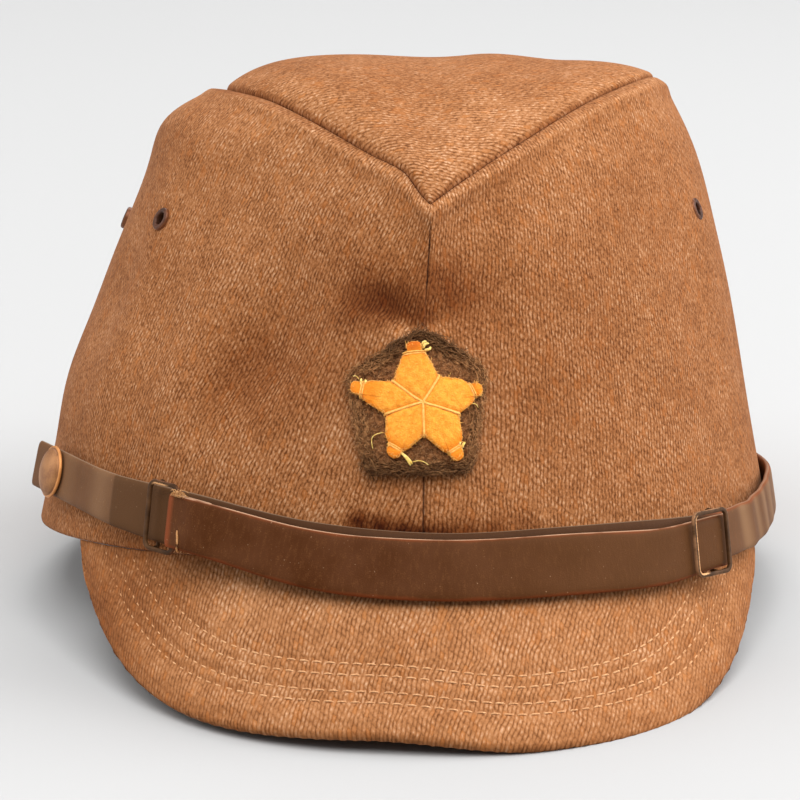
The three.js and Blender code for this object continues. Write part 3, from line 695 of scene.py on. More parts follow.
def spaced(whole, step, fine):
    """Values from 0 to 1 along a length, closer together near both ends."""
    half = [0.0]
    while half[-1] < whole / 2:
        half.append(half[-1] + min(step, fine + GROWTH * half[-1]))
    half = np.array(half) / half[-1] / 2
    return np.concatenate([half, 1 - half[-2::-1]])


def roll(distance, radius):
    """How far a rounded edge has gone down: 1 at the edge, 0 past its radius."""
    s = np.clip(distance / radius, 0, 1)
    return 1 - np.sqrt(1 - (1 - s) ** 2)


def mitre(first, second):
    """The way that halves the angle between two faces, long enough to keep a cloth's thickness there."""
    return (first + second) / (1 + np.sum(first * second, -1))[..., None]


def seam_depth(t):
    """The top seam is pulled in less between the front point and the shoulder."""
    return SEAM_DEPTH * (1 - SEAM_SLACK * bell((t - SLACK_AT) / SLACK_WIDE))


def seam_way(side, t):
    """Out of the top seam, halfway between its two panels; at the points both sides share one way."""
    near = np.clip(t, NEAR_TIP, 1 - NEAR_TIP)
    ways = {s: mitre(wall_normal(s, near, 1), top_normal(near, (1 + s) / 2)) for s in (1, -1)}
    own = smooth(np.minimum(t, 1 - t), 0, TIP_BLEND)[..., None]
    return ways[side] * own + (ways[1] + ways[-1]) / 2 * (1 - own)


print("steps along a panel:", len(spaced(WALL_LENGTH, 2.2, SEAM_STEP)) - 1)

# %% [markdown]
# Cloth that is sewn to a shape still sags a little. `slack` adds slow waves, and the sharp pinch that the
# badge pulls into the front. A cloth simulation could find such folds, but not these very ones.

# %% Slack and creases
CREASE_NAMES = ("side", "t", "v", "wide", "above", "below", "depth")
CREASES = named(CREASE_NAMES, (
    (-1, 0.042, 0.468, 0.045, 0.07, 0.024, 2.3),
    (1, 0.006, 0.485, 0.035, 0.07, 0.035, 1.8),
    (1, 0.07, 0.36, 0.03, 0.25, 0.2, 0.8),
))


def slack(side, t, v):
    """Soft unevenness of the cloth, less near the seams, and its creases."""
    waves = 0.35 * np.sin(9 * t + 5 * v + side) + 0.3 * np.sin(21 * t - 7 * v + 2 * side)
    waves = waves + 0.22 * np.sin(33 * t + 11 * v) * np.sin(8 * v + side)
    waves = waves * smooth(np.minimum(t, 1 - t), 0, 0.06) * smooth(1 - v, 0, 0.12)
    for crease in CREASES:
        if crease["side"] == side:
            tall = np.where(v > crease["v"], crease["above"], crease["below"])
            across = bell((t - crease["t"]) / crease["wide"])
            waves = waves - crease["depth"] * across * bell((v - crease["v"]) / tall)
    return waves


print("deepest crease, mm:", max(crease["depth"] for crease in CREASES))

# %% [markdown]
# Now the faces of the cloth. Beside the top seam the wall stands up in a soft ridge, the front and back seams
# are narrow grooves, and at the rim the cloth is folded, so both faces round off towards its middle. The
# front seam bows a little to one side near the badge.

# %% Faces of the crown
CLOTH = 2.4
SEAM_ROLL = 2.3
TOP_ROLL = 1.8
RIDGE = 0.8
RIDGE_AT = 3.6
RIDGE_WIDE = 2.2
FRONT_DEPTH = 1.1
FRONT_ROLL = 1.0
FRONT_FROM = (2, 9)
SEAM_BOW = 1.1
BOW_AT = 0.4
BOW_TALL = 0.22
BOW_WIDE = 0.06
TURN_IN = 6


def wall_faces(side, t, v):
    """Outer and inner face of a side panel."""
    base = wall_point(side, t, v)
    n = wall_normal(side, t, v)
    base = base + n * slack(side, t, v)[..., None]
    base[..., 0] -= SEAM_BOW * bell((v - BOW_AT) / BOW_TALL) * bell(t / BOW_WIDE)
    to_top = length(base - wall_point(side, t, 1))
    smoothed = wall_point(side, t, v)
    to_front = length(smoothed - wall_point(side, 0, v))
    to_back = length(smoothed - wall_point(side, 1, v))
    to_rim = length(base - wall_point(side, t, 0))
    top_way = seam_way(side, t)
    end_way = {k: mitre(wall_normal(side, k, v), wall_normal(-side, k, v)) for k in (0, 1)}
    below = smooth(to_top, *FRONT_FROM)
    hem = CLOTH / 2 * roll(to_rim, CLOTH / 2)
    ridge = RIDGE * bell((to_top - RIDGE_AT) / RIDGE_WIDE) * smooth(to_top, 0, RIDGE_AT)
    outer = base - top_way * (seam_depth(t) * roll(to_top, SEAM_ROLL))[..., None]
    outer = outer - end_way[0] * (FRONT_DEPTH * roll(to_front, FRONT_ROLL) * below)[..., None]
    outer = outer - end_way[1] * (FRONT_DEPTH * roll(to_back, FRONT_ROLL) * below)[..., None]
    inward = n
    for way, far in ((end_way[0], to_front), (end_way[1], to_back)):
        share = smooth(far, 0, TURN_IN)[..., None]
        inward = way * (1 - share) + inward * share
    outer = outer + inward * (ridge - hem)[..., None]
    share = smooth(to_top, 0, TURN_IN)[..., None]
    inward = top_way * (1 - share) + inward * share
    inner = base - inward * (CLOTH - hem)[..., None]
    return outer, inner


def top_faces(t, w):
    """Outer and inner face of the top."""
    base = top_point(t, w)
    gone = {side: roll(length(base - wall_point(side, t, 1)), TOP_ROLL) for side in (1, -1)}
    ways = {side: seam_way(side, t) for side in (1, -1)}
    whole = (gone[1] + gone[-1] + 1e-9)[..., None]
    way = (ways[1] * gone[1][..., None] + ways[-1] * gone[-1][..., None]) / whole
    outer = base - way * (seam_depth(t) * np.maximum(gone[1], gone[-1]))[..., None]
    inward = ways[-1] * (1 - w[..., None]) + ways[1] * w[..., None]
    return outer, base - inward * CLOTH


hem_outer, hem_inner = wall_faces(1, np.array([0.5]), np.array([0.0]))
print("cloth's faces at the rim, mm apart:", length(hem_outer - hem_inner)[0].round(3))

# %% [markdown]
# The walls have air eyelets, so they need holes. `turned` spins a profile round an axis, which makes the
# cutters here and the buttons and eyelets later. A Boolean modifier cuts the hole and is applied at once, so
# that the piece keeps plain mesh data.

# %% Turned forms and holes
EYELET_NAMES = ("node", "side", "t", "v")
EYELETS = named(EYELET_NAMES, (
    ("eyelet_right_front", 1, 0.38, 0.5),
    ("eyelet_right_rear", 1, 0.53, 0.5),
    ("eyelet_left_front", -1, 0.345, 0.5),
    ("eyelet_left_rear", -1, 0.52, 0.49),
))
EYELET_BARREL = 2.1
CUTTER = 8
UP = np.array([0, 0, 1.0])


def turned(profile, place, axis, up, segments):
    """A form turned about an axis, from pairs of radius and height."""
    side = unit(np.cross(up, axis))
    third = np.cross(axis, side)
    turn = 2 * np.pi * np.arange(segments) / segments
    spokes = side * np.cos(turn)[:, None] + third * np.sin(turn)[:, None]
    radius, height = np.array(profile, float).T
    points = place + spokes[None] * radius[:, None, None] + axis * height[:, None, None]
    index = np.arange(points.size // 3).reshape(len(radius), segments)
    around = np.concatenate([index, index[:, :1]], 1)
    faces = quads(around).tolist()
    return points.reshape(-1, 3), faces + [index[0, ::-1].tolist(), index[-1].tolist()]


def drilled(piece, place, axis, radius):
    """Cuts a round hole through a piece."""
    points, faces = turned([(radius, -CUTTER), (radius, CUTTER)], place, axis, UP, 32)
    cutter_mesh = bpy.data.meshes.new("cutter")
    cutter_mesh.from_pydata(to_rest(points).tolist(), [], faces)
    cutter = bpy.data.objects.new("cutter", cutter_mesh)
    bpy.context.scene.collection.objects.link(cutter)
    hole = piece.modifiers.new("hole", "BOOLEAN")
    hole.object = cutter
    hole.solver = "FAST"
    graph = bpy.context.evaluated_depsgraph_get()
    cut = bpy.data.meshes.new_from_object(piece.evaluated_get(graph))
    piece.modifiers.clear()
    cut.name = piece.name
    piece.data = cut
    bpy.data.objects.remove(cutter)


print("holes to drill:", len(EYELETS))

# %% [markdown]
# Each panel is cut from the same cloth, but its rows run another way: steeply on the sides, and across on
# the top, where they bend with the pointed oval. The top's flat places are counted from its middle line.

# %% Crown pieces
LEFT_GRAIN = 72
RIGHT_GRAIN = 87
TOP_GRAIN = 4
TOP_BEND = 0.3
TOP_BEND_ROUND = 8
wall_rows = (spaced(WALL_LENGTH, 2.2, SEAM_STEP), spaced(WALL_HEIGHT, 2.0, SEAM_STEP))
wall_t, wall_v = np.meshgrid(*wall_rows, indexing="ij")
for side, node, grain in ((1, "crown_side_right", RIGHT_GRAIN), (-1, "crown_side_left", LEFT_GRAIN)):
    outer, inner = wall_faces(side, wall_t, wall_v)
    smoothed = wall_point(side, wall_t, wall_v)
    flat = on_grain(side * run_lengths(smoothed, 0), run_lengths(smoothed, 1), grain)
    wall = add_piece(node + "_cloth", *sheet(outer, inner), wool, "cloth", [node], np.stack([flat, flat]))
    for eyelet in EYELETS:
        if eyelet["side"] == side:
            place = wall_point(side, eyelet["t"], eyelet["v"])
            facing = wall_normal(side, eyelet["t"], eyelet["v"])
            drilled(wall, place, facing, EYELET_BARREL)

top_t, top_w = np.meshgrid(spaced(180, 1.8, SEAM_STEP), spaced(110, 1.8, 0.2), indexing="ij")
outer, inner = top_faces(top_t, top_w)
smoothed = top_point(top_t, top_w)
flat_x = run_lengths(smoothed, 1)
middle = len(flat_x[0]) // 2
flat_x = flat_x - flat_x[:, middle][:, None]
flat_y = run_lengths(smoothed, 0)[:, middle][:, None] - TOP_BEND * np.hypot(flat_x, TOP_BEND_ROUND)
flat = on_grain(flat_x, flat_y, TOP_GRAIN)
add_piece("crown_top_cloth", *sheet(outer, inner), wool, "cloth", ["crown_top"], np.stack([flat, flat]))

# %% [markdown]
# ## The peak
#
# The peak is a stiff plate that hangs from the front of the rim, so it bends only one way: its lines run
# straight to the front. Such a plate can be unrolled without stretching. Its outline is a rounded box, a
# little longer on the right.

# %% Plan of the peak
PEAK_X = 1.9
PEAK_HALF_WIDTH = 80.5
PEAK_REACH_LEFT = 44.5
PEAK_REACH_RIGHT = 48.5
PEAK_TURN = (-14, 26)
PEAK_SLOPE = math.radians(49)
PEAK_SQUARE = 5.9
PEAK_ROUND = 0.63
PEAK_TIP = 0.996
PEAK_SEAT = 0.4


def peak_line(u):
    """Where the peak leaves the rim at u from its left end to its right end, and how far it reaches."""
    q = PEAK_TIP * (2 * np.asarray(u, float) - 1)
    x = PEAK_X + q * PEAK_HALF_WIDTH
    root = rim_point(np.degrees(np.arcsin(x / RIM_HALF_WIDTH)), -CLOTH / 2)
    root[..., 2] -= PEAK_SEAT
    reach = PEAK_REACH_LEFT + (PEAK_REACH_RIGHT - PEAK_REACH_LEFT) * smooth(x, *PEAK_TURN)
    return root, reach * (1 - np.abs(q) ** PEAK_SQUARE) ** PEAK_ROUND


PEAK_DOWN = np.array([0, -math.cos(PEAK_SLOPE), -math.sin(PEAK_SLOPE)])
edge_u = np.linspace(0, 1, 1601)
edge_root, edge_reach = peak_line(edge_u)
edge_steps = np.hypot(np.diff(edge_root[:, 0]), math.sin(PEAK_SLOPE) * np.diff(edge_root[:, 1]))
edge_a = np.concatenate([[0], np.cumsum(edge_steps)])
edge_b = edge_reach - edge_root[:, 1] * math.cos(PEAK_SLOPE)


def peak_flat(u, r):
    """Places on the unrolled peak: u from its left end to its right end, r from the rim to its edge."""
    root, reach = peak_line(u)
    return np.interp(u, edge_u, edge_a), r * reach - root[..., 1] * math.cos(PEAK_SLOPE)


def edge_distance(a, b):
    """Distance from the peak's edge on the unrolled peak."""
    far = np.full(a.shape, np.inf)
    for k in range(0, len(edge_u), 4):
        far = np.minimum(far, np.hypot(a - edge_a[k], b - edge_b[k]))
    return far


print("peak's edge unrolled, mm:", np.hypot(np.diff(edge_a), np.diff(edge_b)).sum().round(1))

# %% [markdown]
# In the unrolled plane the rows of stitching are simply the edge moved inwards. Two pairs of rows hold the
# peak's layers together. Each row presses a groove into the cloth, and the edge outside them swells.

# %% Peak
PEAK_THICK = 3.4
PEAK_EDGE_THICK = 2.6
THINS_FROM = 9
PEAK_GRAIN = 74
STITCH_ROWS = (8.5, 11.2, 15.3, 18.1)
GROOVE_DEPTH = 0.35
GROOVE_WIDE = 0.9
EDGE_SWELL = 0.35
SWELL_AT = 4.2
SWELL_WIDE = 2.4


def peak_normal(u):
    """Direction off the peak's upper face."""
    step = 0.002
    middle = np.clip(u, step, 1 - step)
    across = peak_line(middle + step)[0] - peak_line(middle - step)[0]
    return unit(np.cross(np.broadcast_to(PEAK_DOWN, across.shape), across))


def peak_faces(u, r):
    """Upper and lower face of the peak."""
    root, reach = peak_line(u)
    base = root + PEAK_DOWN * (r * reach)[..., None]
    far = edge_distance(*peak_flat(u, r))
    thick = PEAK_THICK + (PEAK_EDGE_THICK - PEAK_THICK) * smooth(far, THINS_FROM, 0)
    hem = thick / 2 * roll(far, PEAK_EDGE_THICK / 2)
    groove = sum(GROOVE_DEPTH * bell((far - row) / GROOVE_WIDE) for row in STITCH_ROWS)
    swell = EDGE_SWELL * bell((far - SWELL_AT) / SWELL_WIDE)
    n = peak_normal(u)
    return base + n * (swell - groove - hem)[..., None], base - n * (thick - groove - hem)[..., None]


peak_u, peak_r = np.meshgrid(spaced(170, 1.5, 0.3), spaced(46, 0.9, 0.15), indexing="ij")
outer, inner = peak_faces(peak_u, peak_r)
flat_a, flat_b = peak_flat(peak_u, peak_r)
flat = on_grain(flat_a, -flat_b, PEAK_GRAIN)
add_piece("peak_cloth", *sheet(outer, inner), peak_wool, "cloth", ["peak"], np.stack([flat, flat]))

# %% [markdown]
# Each stitch is a short strand that comes out of the cloth, arches a little and goes in again. Towards both
# ends of the peak the rows lie deeper in the nap and hardly show. Real strands catch the light and throw
# small shadows, which a painted row would not.

# %% Stitches
STITCH_PITCH = 3.0
STITCH_LENGTH = 2.4
STITCH_RADIUS = 0.23
SUNK = 0.3
SUNK_LEFT = (0.36, 0.14)
SUNK_RIGHT = (0.8, 0.92)
STITCH_RISE = np.array([-0.3, 0.12, 0.2, 0.12, -0.3])
UNEVEN = 0.08
chance = np.random.default_rng(11)


def thread_finish(name, code, paler):
    """Twisted thread in two tones."""
    thread = Finish(name, {"Roughness": 0.8})
    place = thread.solid()
    grain = thread.noise(place, 1.7, 3.0)
    thread.link("Base Color", thread.mix(grain.ramp(0.3, 0.7), tone(code), tone(paler)))
    thread.bump(thread.noise(place, 4.0, 2.0), 0.15, 0.7)
    return thread


def peak_row(distance):
    """The edge moved inwards in the flat plane, as places on the peak and lengths along the row."""
    da = np.gradient(edge_a)
    db = np.gradient(edge_b)
    a = edge_a + distance * db / np.hypot(da, db)
    b = edge_b - distance * da / np.hypot(da, db)
    u = np.interp(a, edge_a, edge_u)
    root, reach = peak_line(u)
    r = (b + root[:, 1] * math.cos(PEAK_SLOPE)) / np.maximum(reach, 1e-6)
    inside = (r > 0.03) & (a > edge_a[0]) & (a < edge_a[-1])
    keep = inside & (np.abs(edge_distance(a, b) - distance) < 0.3)
    a, b, u, r = a[keep], b[keep], u[keep], r[keep]
    run = np.concatenate([[0], np.cumsum(np.hypot(np.diff(a), np.diff(b)))])
    return u, r, run


stitches = []
for distance in STITCH_ROWS:
    row_u, row_r, run = peak_row(distance)
    starts = np.arange(chance.uniform(0, STITCH_PITCH), run[-1] - STITCH_LENGTH, STITCH_PITCH)
    starts = starts + chance.normal(0, UNEVEN, len(starts))
    at = starts[:, None] + STITCH_LENGTH * np.linspace(0, 1, len(STITCH_RISE))
    u = np.interp(at, run, row_u)
    r = np.interp(at, run, row_r)
    sunk = SUNK * (smooth(-u, -SUNK_LEFT[0], -SUNK_LEFT[1]) + smooth(u, *SUNK_RIGHT))
    stitches.append(peak_faces(u, r)[0] + peak_normal(u) * (STITCH_RISE - sunk)[..., None])
stitches = np.concatenate(stitches)
tan_thread = thread_finish("tan_thread", "#bd8454", "#d9a676")
add_piece("peak_stitches", *tubes(stitches, STITCH_RADIUS), tan_thread, "thread")
print("stitches:", len(stitches))

# %% [markdown]
# ## Laying felt on the front
#
# The badge lies on a curved front. `front_point` looks for the place on the crown that has a wanted x and z,
# by small steps towards it, and `laid` lifts a form off the cloth there. A Shrinkwrap modifier does much the
# same, but a function can also lay single threads and fibres.

# %% Front of the crown
FRONT_HEIGHT = 77.8
SEARCH_STEPS = 20
GAP = 0.3


def front_point(x, z):
    """Place on the front of the crown with this x and z."""
    x, z = np.broadcast_arrays(np.asarray(x, float), np.asarray(z, float))
    found = np.empty(x.shape + (3,))
    for side in (1, -1):
        mine = (x >= SEAM_X * z / FRONT_HEIGHT) == (side > 0)
        want_x, want_z = x[mine], z[mine]
        t = np.zeros(len(want_x))
        v = want_z / FRONT_HEIGHT
        for _ in range(SEARCH_STEPS):
            p = wall_point(side, t, v)
            t = np.maximum(t + side * (want_x - p[:, 0]) / WALL_LENGTH, 0)
            v = v + (want_z - p[:, 2]) / WALL_HEIGHT
        found[mine] = wall_point(side, t, v)
    return found


def front_normal(x, z):
    """Direction off the front; wide steps, because felt bridges small dents."""
    step = 2.5
    across = front_point(x + step, z) - front_point(x - step, z)
    up = front_point(x, z + step) - front_point(x, z - step)
    return unit(np.cross(across, up))


def laid(flat, height):
    """Places on the front from x and z, lifted off the cloth."""
    x, z = np.moveaxis(flat, -1, 0)
    return front_point(x, z) + front_normal(x, z) * np.broadcast_to(height, x.shape)[..., None]


def felt_form(rings, top, bottom):
    """A closed form from rings of flat places; the first ring is a single place, repeated."""
    upper = laid(rings, top)
    lower = laid(rings, bottom)
    points = np.concatenate([upper, lower]).reshape(-1, 3)
    front, back = np.arange(len(points)).reshape(2, *rings.shape[:2])
    faces = []
    for grid in (np.concatenate([front, back[-1:]]), back[::-1]):
        faces.append(quads(np.concatenate([grid, grid[:, :1]], 1)))
    return points, np.concatenate(faces).tolist()


print("front of the crown at the badge, mm:", front_point(np.array(0.0), np.array(33.0)).round(1))

# %% [markdown]
# ## The badge's backing
#
# The badge is two pieces of felt. Felt is matted wool: it has no weave, only a fine irregular grain in a few
# close tones, so the finish is two sizes of noise. A felt may have marks of its own, which are given as a
# function that changes its colour from place to place.

# %% Felt finish
DARK_FROM = (8, 13)


def felt_finish(name, dark, mid, light, marks=None):
    """Felt in three tones; marks may change its colour from place to place."""
    felt = Finish(name, {"Roughness": 0.95, "Specular IOR Level": 0.1, "Sheen Weight": 0.03})
    place = felt.solid()
    grain = felt.noise(place, 1.1, 4.0)
    hair = felt.noise(place, 3.5, 3.0)
    colour = felt.mix(grain.ramp(0.34, 0.66), tone(dark), tone(mid))
    colour = felt.mix(hair.ramp(0.5, 0.8) * 0.7, colour, tone(light))
    if marks:
        colour = marks(felt, place, colour)
    felt.link("Base Color", colour)
    felt.bump(grain * 0.6 + hair * 0.5, 0.5, 0.9)
    return felt


def dark_ends(felt, place, colour):
    """The hem is darkest along the bottom and at the top."""
    height = felt.node("SeparateXYZ", None, {0: place}).out("Z") - BADGE_HEIGHT
    return felt.mix(height.math("ABSOLUTE").ramp(*DARK_FROM) * 0.65, colour, tone("#422815"))


BADGE_MIDDLE = np.array([0, 33.0])
BADGE_HEIGHT = 1000 * to_rest(front_point(*BADGE_MIDDLE))[2]
brown_felt = felt_finish("brown_felt", "#57341b", "#8a5a35", "#c0946a")
brown_yarn = felt_finish("brown_yarn", "#6b4122", "#a8764a", "#d2a675", dark_ends)
print("badge's height above the table, mm:", round(BADGE_HEIGHT, 1))

# %% [markdown]
# The backing is a pentagon cut by hand, so its sides waver and its corners are soft. Rings from the middle to
# the edge give it an even grid; a plain extruded outline would have no points inside to lift and lump.

# %% Backing
FELT = 1.6
CORNER_SOFTNESS = 9
EDGE_WAVER = 0.3
LUMP = 0.14
EDGE_SHARE = 0.35
BADGE_CORNERS = np.array([(0.9, 16.2), (-15.1, 6.4), (-11.6, -14), (10.4, -13.8), (13.8, 7.6)])
EDGE_POINTS = 360


def along_sides(corners, count):
    """Evenly spaced places along the sides of a polygon."""
    loop = np.concatenate([corners, corners[:1]])
    run = np.concatenate([[0], np.cumsum(length(np.diff(loop, axis=0)))])
    at = np.arange(count) / count * run[-1]
    return np.stack([np.interp(at, run, loop[:, k]) for k in (0, 1)], -1)


def softened(loop, reach):
    """A closed row of places, each moved to the mean of its neighbours."""
    shifts = range(-reach, reach + 1)
    return sum(np.roll(loop, k, 0) for k in shifts) / len(shifts)


def wavy(count, size, seed, slowest=4, fastest=30):
    """A smooth closed row of small random numbers."""
    dice = np.random.default_rng(seed)
    turn = 2 * np.pi * np.arange(count) / count
    waves = 0
    for k in range(slowest, fastest):
        waves = waves + np.sin(k * turn + dice.uniform(0, 7)) * dice.normal() / k ** 0.5
    return size * waves / 3


badge_loop = softened(along_sides(BADGE_CORNERS, EDGE_POINTS), CORNER_SOFTNESS)
badge_out = unit(badge_loop)
badge_edge = badge_loop + badge_out * wavy(EDGE_POINTS, EDGE_WAVER, 3)[:, None]
ring = np.linspace(0, 1, 22)[:, None, None]
badge_rings = BADGE_MIDDLE + badge_edge * ring
lump = LUMP * np.sin(1.7 * badge_rings[..., 0] + 1) * np.sin(1.9 * badge_rings[..., 1])
rounded = (1 - ring[..., 0] ** 12) ** 0.5
badge_top = GAP + FELT * (EDGE_SHARE + (1 - EDGE_SHARE) * rounded) + lump
backing = felt_form(badge_rings, badge_top, GAP)
add_piece("badge_backing_felt", *backing, brown_felt, "backing_felt", ["badge_backing"])

# %% [markdown]
# The hem is not one neat cord: a few strands of yarn run along the edge, and short loose locks of wool lie
# over them, tapered at both ends and turned a little to each side. `locks` bends each lock with random
# numbers from a fixed seed, so the lesson gives the same hem each time.

# %% Yarn round the backing
STRANDS = 5
STRAND_RADIUS = 0.45
STRAND_IN = 1.7
STRAND_OUT = 0.3
LOCKS = 1700
LOCK_LENGTH = 3.4
LOCK_RADIUS = 0.13
LOCK_TAPER = np.array([0.25, 0.8, 1, 1, 0.9, 0.7, 0.2])
STRAY = 0.38
CURL = 0.22
LOCK_STAND = 0.45
STRAND_SWAY = 0.85
STRAND_RISE = 0.4


def locks(flat, aim, height, long, stand, seed):
    """Curved strands with their middles at flat places on the front; they lie along aim and arch off it."""
    dice = np.random.default_rng(seed)
    count = len(flat)
    size = np.asarray(long) * dice.uniform(0.4, 1.3, (count, 1))
    lean = (aim * dice.choice([-1, 1], count)[:, None] + dice.normal(0, STRAY, (count, 2))) * size
    curl = dice.normal(0, CURL, (count, 2)) * size
    steps = np.linspace(-0.5, 0.5, len(LOCK_TAPER))
    path = flat[:, None] + lean[:, None] * steps[:, None] + curl[:, None] * np.sin(2.6 * steps)[:, None] ** 2
    arch = dice.uniform(0.2, 1, count)[:, None] * np.cos(np.pi * steps)
    lift = stand * arch + dice.normal(0, 0.1, (count, 1))
    return laid(path, np.maximum(np.asarray(height)[:, None] + lift, GAP))


strands = []
for k in range(STRANDS):
    offset = STRAND_OUT - (STRAND_IN + STRAND_OUT) * k / (STRANDS - 1)
    offset = offset + wavy(EDGE_POINTS, STRAND_SWAY, 100 + k, 2, 30)
    height = GAP + FELT * 0.7 + wavy(EDGE_POINTS, STRAND_RISE, 200 + k, 3, 30)
    path = BADGE_MIDDLE + badge_loop + badge_out * offset[:, None]
    strands.append(laid(path, np.maximum(height, GAP + STRAND_RADIUS)))
dice = np.random.default_rng(21)
pick = dice.integers(0, EDGE_POINTS, LOCKS)
in_from_edge = dice.uniform(-STRAND_OUT - 0.2, STRAND_IN + 0.3, LOCKS)
roots = BADGE_MIDDLE + badge_loop[pick] - badge_out[pick] * in_from_edge[:, None]
along_edge = unit(np.roll(badge_loop, -1, 0) - badge_loop)
root_height = GAP + FELT * dice.uniform(0.3, 1.1, LOCKS)
edge_locks = locks(roots, along_edge[pick], root_height, LOCK_LENGTH, LOCK_STAND, 22)
strand_mesh = tubes(strands, STRAND_RADIUS, 5, closed=True)
lock_mesh = tubes(edge_locks, LOCK_RADIUS * LOCK_TAPER, 5)
add_piece("badge_hem", *joined(strand_mesh, lock_mesh), brown_yarn, "backing_felt")

# %% [markdown]
# Fuzz is what makes felt and yarn look soft. Each fibre is a thin curved strand that stands off only a little.
# On the hem the fibres lie mostly along the edge, and on the felt they lie any way. Blender's hair would look
# the same, but it is not a mesh and would be lost when the part is exported.

# %% Loose fibres
FUZZ = 4200
FUZZ_RADIUS = 0.055
HEM_SHARE = 0.62
HEM_FIBRE = 1.7
FELT_FIBRE = 1.0
FIBRE_STAND = 0.5
dice = np.random.default_rng(5)
pick = dice.integers(0, EDGE_POINTS, FUZZ)
on_hem = dice.uniform(0, 1, FUZZ) < HEM_SHARE
share = np.where(on_hem, dice.uniform(0.86, 1.06, FUZZ), dice.uniform(0, 1, FUZZ) ** 0.5)
roots = BADGE_MIDDLE + badge_edge[pick] * share[:, None]
root_height = np.where(on_hem, GAP + FELT * dice.uniform(0.2, 1.2, FUZZ), GAP + FELT)
any_way = unit(dice.normal(0, 1, (FUZZ, 2)))
aim = np.where(on_hem[:, None], unit(along_edge[pick] + 0.9 * any_way), any_way)
fibre_length = np.where(on_hem, HEM_FIBRE, FELT_FIBRE)[:, None]
fuzz = locks(roots, aim, root_height, fibre_length, FIBRE_STAND, 6)
add_piece("badge_fibres", *tubes(fuzz, FUZZ_RADIUS * LOCK_TAPER, 3), brown_yarn, "backing_felt")

# %% [markdown]
# ## The star
#
# The star is a second piece of felt. Each tip is tied with thread a little before its end and ends in a
# small knob. A tip's row gives its length and angle, the waist after it, the half width of its end, how much
# the thread pinches it, and how round its knob is. No two tips are alike, so a five-fold copy would not do.

# %% Outline of the star
STAR_NAMES = ("tip", "tip_angle", "waist", "waist_angle", "half_width", "pinch", "round")
STAR = named(STAR_NAMES, (
    (13.4, 6.8, 7.5, 53.5, 1.3, 0.1, 0.1),
    (15.6, 78, 8.2, 109, 1.25, 0.14, 0.5),
    (13.9, 149.4, 7.1, 180, 1.45, 0.3, 0.9),
    (14.8, 210.5, 7.6, 249.2, 1.3, 0.3, 0.9),
    (12.9, 282.5, 6.3, 332.6, 1.45, 0.34, 0.9),
))
TIE_AT = 0.7
TIE_WIDE = 0.08
KNOB_FROM = 0.82


def star_place(radius, angle):
    """A place from the star's middle; the angle is counted from straight up towards the left."""
    return np.array([-radius * math.sin(math.radians(angle)), radius * math.cos(math.radians(angle))])


tips = np.array([star_place(row["tip"], row["tip_angle"]) for row in STAR])
waists = np.array([star_place(row["waist"], row["waist_angle"]) for row in STAR])


def tip_side(k, waist, share):
    """Places from a waist out along one side of a tip."""
    tip = tips[k]
    axis = tip / np.hypot(*tip)
    aside = np.array([-axis[1], axis[0]])
    hand = np.sign(waist @ aside)
    start = np.array([waist @ axis, abs(waist @ aside)])
    end = np.array([np.hypot(*tip) - 0.4, STAR[k]["half_width"]])
    out, wide = (start + (end - start) * share[:, None]).T
    wide = np.where(share > TIE_AT, STAR[k]["half_width"] * 1.12, wide)
    wide = wide * (1 - STAR[k]["pinch"] * bell((share - TIE_AT) / TIE_WIDE))
    past = np.clip((share - KNOB_FROM) / (1.02 - KNOB_FROM), 0, 1)
    wide = wide * (1 - STAR[k]["round"] * (1 - np.sqrt(1 - past ** 2)))
    return axis * out[:, None] + aside * (hand * wide)[:, None]


share = np.linspace(0, 1, 24)
tied = np.array([TIE_AT])
star_loop = []
ties = []
for k, tip in enumerate(tips):
    first, second = waists[k - 1], waists[k]
    star_loop += [tip_side(k, first, share), tip[None], tip_side(k, second, share)[:0:-1]]
    ties.append([tip_side(k, waist, tied)[0] for waist in (first, second)])
star_loop = softened(np.concatenate(star_loop), 1)
ties = np.array(ties)
print("points on the star's outline:", len(star_loop))

# %% [markdown]
# Five couched threads run from the middle to the waists between the tips, and a thread goes round each tip.
# They press into the felt, so its top sinks near them. The knobs kept more of their dye than the rest.

# %% Star felt
STAR_THICK = 1.5
STAR_BASE = 2 * GAP + FELT
STAR_MIDDLE = np.array([0.6, 33.6])
STAR_EDGE_SHARE = 0.4
STAR_LUMP = 0.1
COUCH_DIP = 0.45
COUCH_WIDE = 0.6
TIE_DIP = 0.55
TIE_DIP_WIDE = 0.5


def line_distance(flat, start, end):
    """Distance of places from a straight line between two places."""
    along = end - start
    s = np.clip((flat - start) @ along / (along @ along), 0, 1)
    return length(flat - start - s[..., None] * along)


def star_dips(flat):
    """How far the threads press the felt down."""
    dip = 0
    for waist in waists:
        dip = np.maximum(dip, COUCH_DIP * bell(line_distance(flat, np.zeros(2), waist) / COUCH_WIDE))
    for first, second in ties:
        dip = np.maximum(dip, TIE_DIP * bell(line_distance(flat, first, second) / TIE_DIP_WIDE))
    return dip


ring = np.linspace(0, 1, 30)[:, None, None] ** 0.8
star_rings = star_loop * ring
swell = STAR_LUMP * np.sin(2.1 * star_rings[..., 0]) * np.sin(1.8 * star_rings[..., 1] + 1)
rounded = (1 - ring[..., 0] ** 7) ** 0.5
star_top = STAR_BASE + STAR_THICK * (STAR_EDGE_SHARE + (1 - STAR_EDGE_SHARE) * rounded)
star_top = star_top + swell - star_dips(star_rings)
star = felt_form(STAR_MIDDLE + star_rings, star_top, STAR_BASE)
star_centre = tuple(1000 * to_rest(laid(STAR_MIDDLE, STAR_BASE)))
top_tip = tuple(1000 * to_rest(laid(STAR_MIDDLE + tips[0], STAR_BASE + STAR_THICK)))


